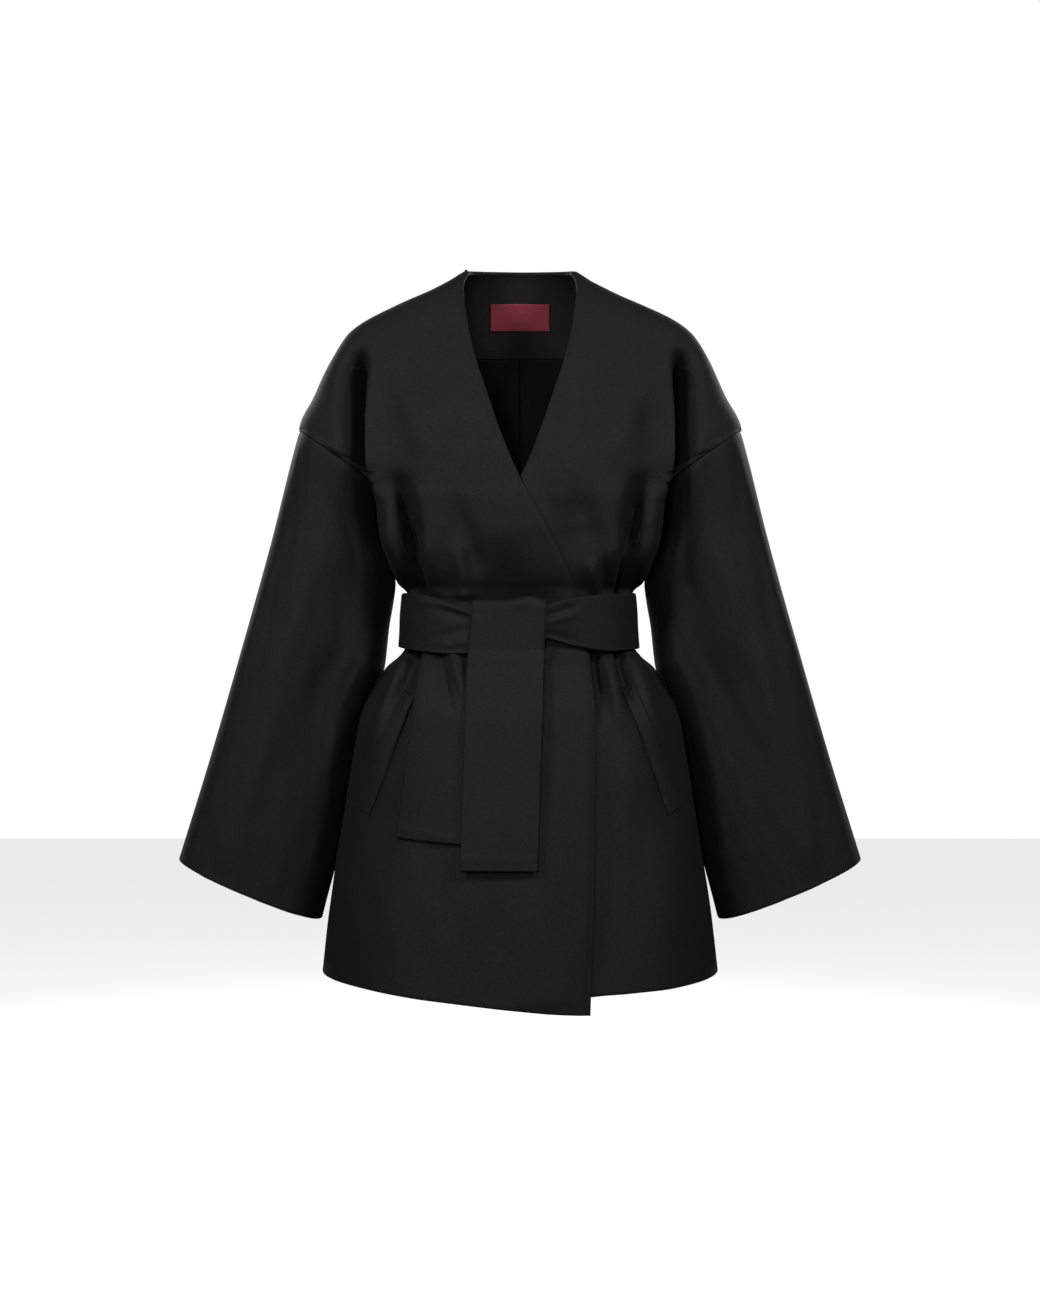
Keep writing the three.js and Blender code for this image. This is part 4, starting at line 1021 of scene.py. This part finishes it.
# Inside of the neck
def make_facing(name, side):
    heights = np.linspace(FACING_TOP, FACING_BOTTOM, FACING_ROWS + 1)
    angles = []
    for z in heights:
        curve = contour("back", z)
        ridge = curve["half"] - RIDGE_ROOM
        reach = min(ridge, FACING_REACH - FACING_TAPER * smooth(TAPER_START, LINING_TOP, z))
        end = angle_at(curve, CENTRE_GAP)
        row = row_angles("back", side, z, angle_at(curve, reach), end, FACING_COLUMNS)
        angles.append(np.insert(row, -1, mix(row[-2], row[-1], CENTRE_COLUMN)))
    angles = np.array(angles)
    near_bottom = smooth(SAG_START, FACING_BOTTOM, heights[:, None])
    z = heights[:, None] - FACING_SAG * np.sin(angles) ** SAG_SHAPE * near_bottom
    depth = COAT_WALL + LAYER_GAP
    outer = panel_offset("back", side, angles, z, -depth)
    inner = panel_offset("back", side, angles, z, -depth - FACING_WALL)
    return wall(name, outer, inner, WOOL, rolls=FACING_ROLLS)


def make_lining(name, side):
    heights = np.linspace(LINING_TOP, LINING_BOTTOM, LINING_ROWS + 1)
    angles = []
    for z in heights:
        curve = contour("back", z)
        end = angle_at(curve, SEAM_GAP / 2)
        row = row_angles("back", side, z, curve["start"], end, LINING_COLUMNS, CROWDING)
        angles.append(row[LINING_SKIP:])
    angles = np.array(angles)
    below_top = 1 - smooth(0, SAG_FADE, LINING_TOP - heights[:, None])
    z = heights[:, None] - FACING_SAG * np.sin(angles) ** SAG_SHAPE * below_top
    depth = COAT_WALL + LAYER_GAP
    outer = panel_offset("back", side, angles, z, -depth, INNER_SOFTNESS)
    inner = panel_offset("back", side, angles, z, -depth - LINING_WALL, INNER_SOFTNESS)
    return wall(name, outer, inner, SATIN)


def make_label():
    z = np.linspace(LABEL_TOP, LABEL_BOTTOM, LABEL_ROWS + 1)[:, None]
    x = LABEL_WIDTH * np.linspace(-0.5, 0.5, LABEL_COLUMNS + 1)[None, :]
    side = np.where(x < 0, -1, 1)
    angle = angle_at(contour("back", z), np.abs(x))
    depth = COAT_WALL + 2 * LAYER_GAP + FACING_WALL
    outer = panel_offset("back", side, angle, z, -depth)
    inner = panel_offset("back", side, angle, z, -depth - LABEL_WALL)
    return wall("woven_label", outer, inner, LABEL_CLOTH)


def dress(node):
    """Hides the imported solid that a piece stands for."""
    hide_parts(node)


front_right = make_front("front_right", -1)
front_left = make_front("front_left", 1)
back = make_back()
dress("front_right")
dress("front_left")
dress("back")
for hand, side in (("right", -1), ("left", 1)):
    sleeve = make_sleeve("wool_sleeve_" + hand, side)
    dress("sleeve_" + hand)
    panel = "front_" + hand
    welt = make_welt("wool_welt_" + hand, panel, side, WELTS[hand])
    dress("pocket_welt_" + hand)
    facing = make_facing("wool_neck_facing_" + hand, side)
    dress("neck_facing_" + hand)
    lining = make_lining("satin_lining_" + hand, side)
    dress("back_lining_" + hand)
band = make_band()
dress("belt_band")
front_tail = make_tail("wool_belt_tail_front", FRONT_TAIL, FRONT_TAIL_FOLDS, 0, 1)
rear_tail = make_tail("wool_belt_tail_rear", REAR_TAIL, REAR_TAIL_FOLDS, REAR_TAIL_SLOPE, 0)
dress("belt_tail_front")
dress("belt_tail_rear")
label = make_label()
dress("label")

# Floor, at the feet of someone who wears the coat
FLOOR_HEIGHT = -1.42
FLOOR_SIZE = 16
paper = bpy.data.materials.new("floor_paper")
paper_shader, paper_add, paper_link = node_setter(paper)
grain = paper_add("ShaderNodeTexNoise", Scale=6, Detail=2)
paper_shade = ramp(paper_add, 0.2, (0.93, 0.93, 0.93), 0.8, (0.96, 0.96, 0.96))
paper_link(grain.outputs["Fac"], paper_shade.inputs["Fac"])
paper_link(paper_shade.outputs["Color"], paper_shader.inputs["Base Color"])
paper_shader.inputs["Roughness"].default_value = 0.9
paper_shader.inputs["Emission Color"].default_value = (1, 1, 1, 1)
paper_shader.inputs["Emission Strength"].default_value = 0.8
bpy.ops.mesh.primitive_plane_add(size=FLOOR_SIZE, location=(0, 0, FLOOR_HEIGHT))
floor = bpy.context.object
floor.name = "floor"
floor.data.materials.append(paper)
floor.visible_diffuse = False
floor.visible_glossy = False

# Light: a white backdrop that hardly lights the coat, two soft boxes high in front, a weak one low
# in the middle, which reaches into the neck, and two behind
AMBIENT = 0.012
KEY_POWER = 26
FILL_POWER = 10
BACK_POWER = 40
COAT_MIDDLE = (0, 0, -0.42)
bpy.context.scene.view_settings.view_transform = "Standard"
world = bpy.data.worlds.new("studio")
bpy.context.scene.world = world
world.use_nodes = True
sky = world.node_tree.nodes["Background"]
backdrop = world.node_tree.nodes.new("ShaderNodeMix")
seen = world.node_tree.nodes.new("ShaderNodeLightPath")
backdrop.inputs["A"].default_value = AMBIENT
backdrop.inputs["B"].default_value = 1
world.node_tree.links.new(seen.outputs["Is Camera Ray"], backdrop.inputs["Factor"])
world.node_tree.links.new(backdrop.outputs["Result"], sky.inputs["Strength"])
sky.inputs["Color"].default_value = (1, 1, 1, 1)


def soft_box(name, place, size, power):
    data = bpy.data.lights.new(name, "AREA")
    data.shape = "DISK"
    data.size = size
    data.energy = power
    lamp = bpy.data.objects.new(name, data)
    bpy.context.scene.collection.objects.link(lamp)
    lamp.location = place
    aim = Vector(COAT_MIDDLE) - lamp.location
    lamp.rotation_euler = aim.to_track_quat("-Z", "Y").to_euler()
    lamp.visible_camera = False


soft_box("key_right", (-1.5, -1.6, 1.05), 0.7, KEY_POWER)
soft_box("key_left", (1.5, -1.6, 1.05), 0.7, KEY_POWER)
soft_box("fill", (-0.25, -2.1, -0.1), 0.5, FILL_POWER)
soft_box("back_right", (-1.7, 2.0, 0.8), 0.8, BACK_POWER)
soft_box("back_left", (1.7, 2.0, 0.8), 0.8, BACK_POWER)
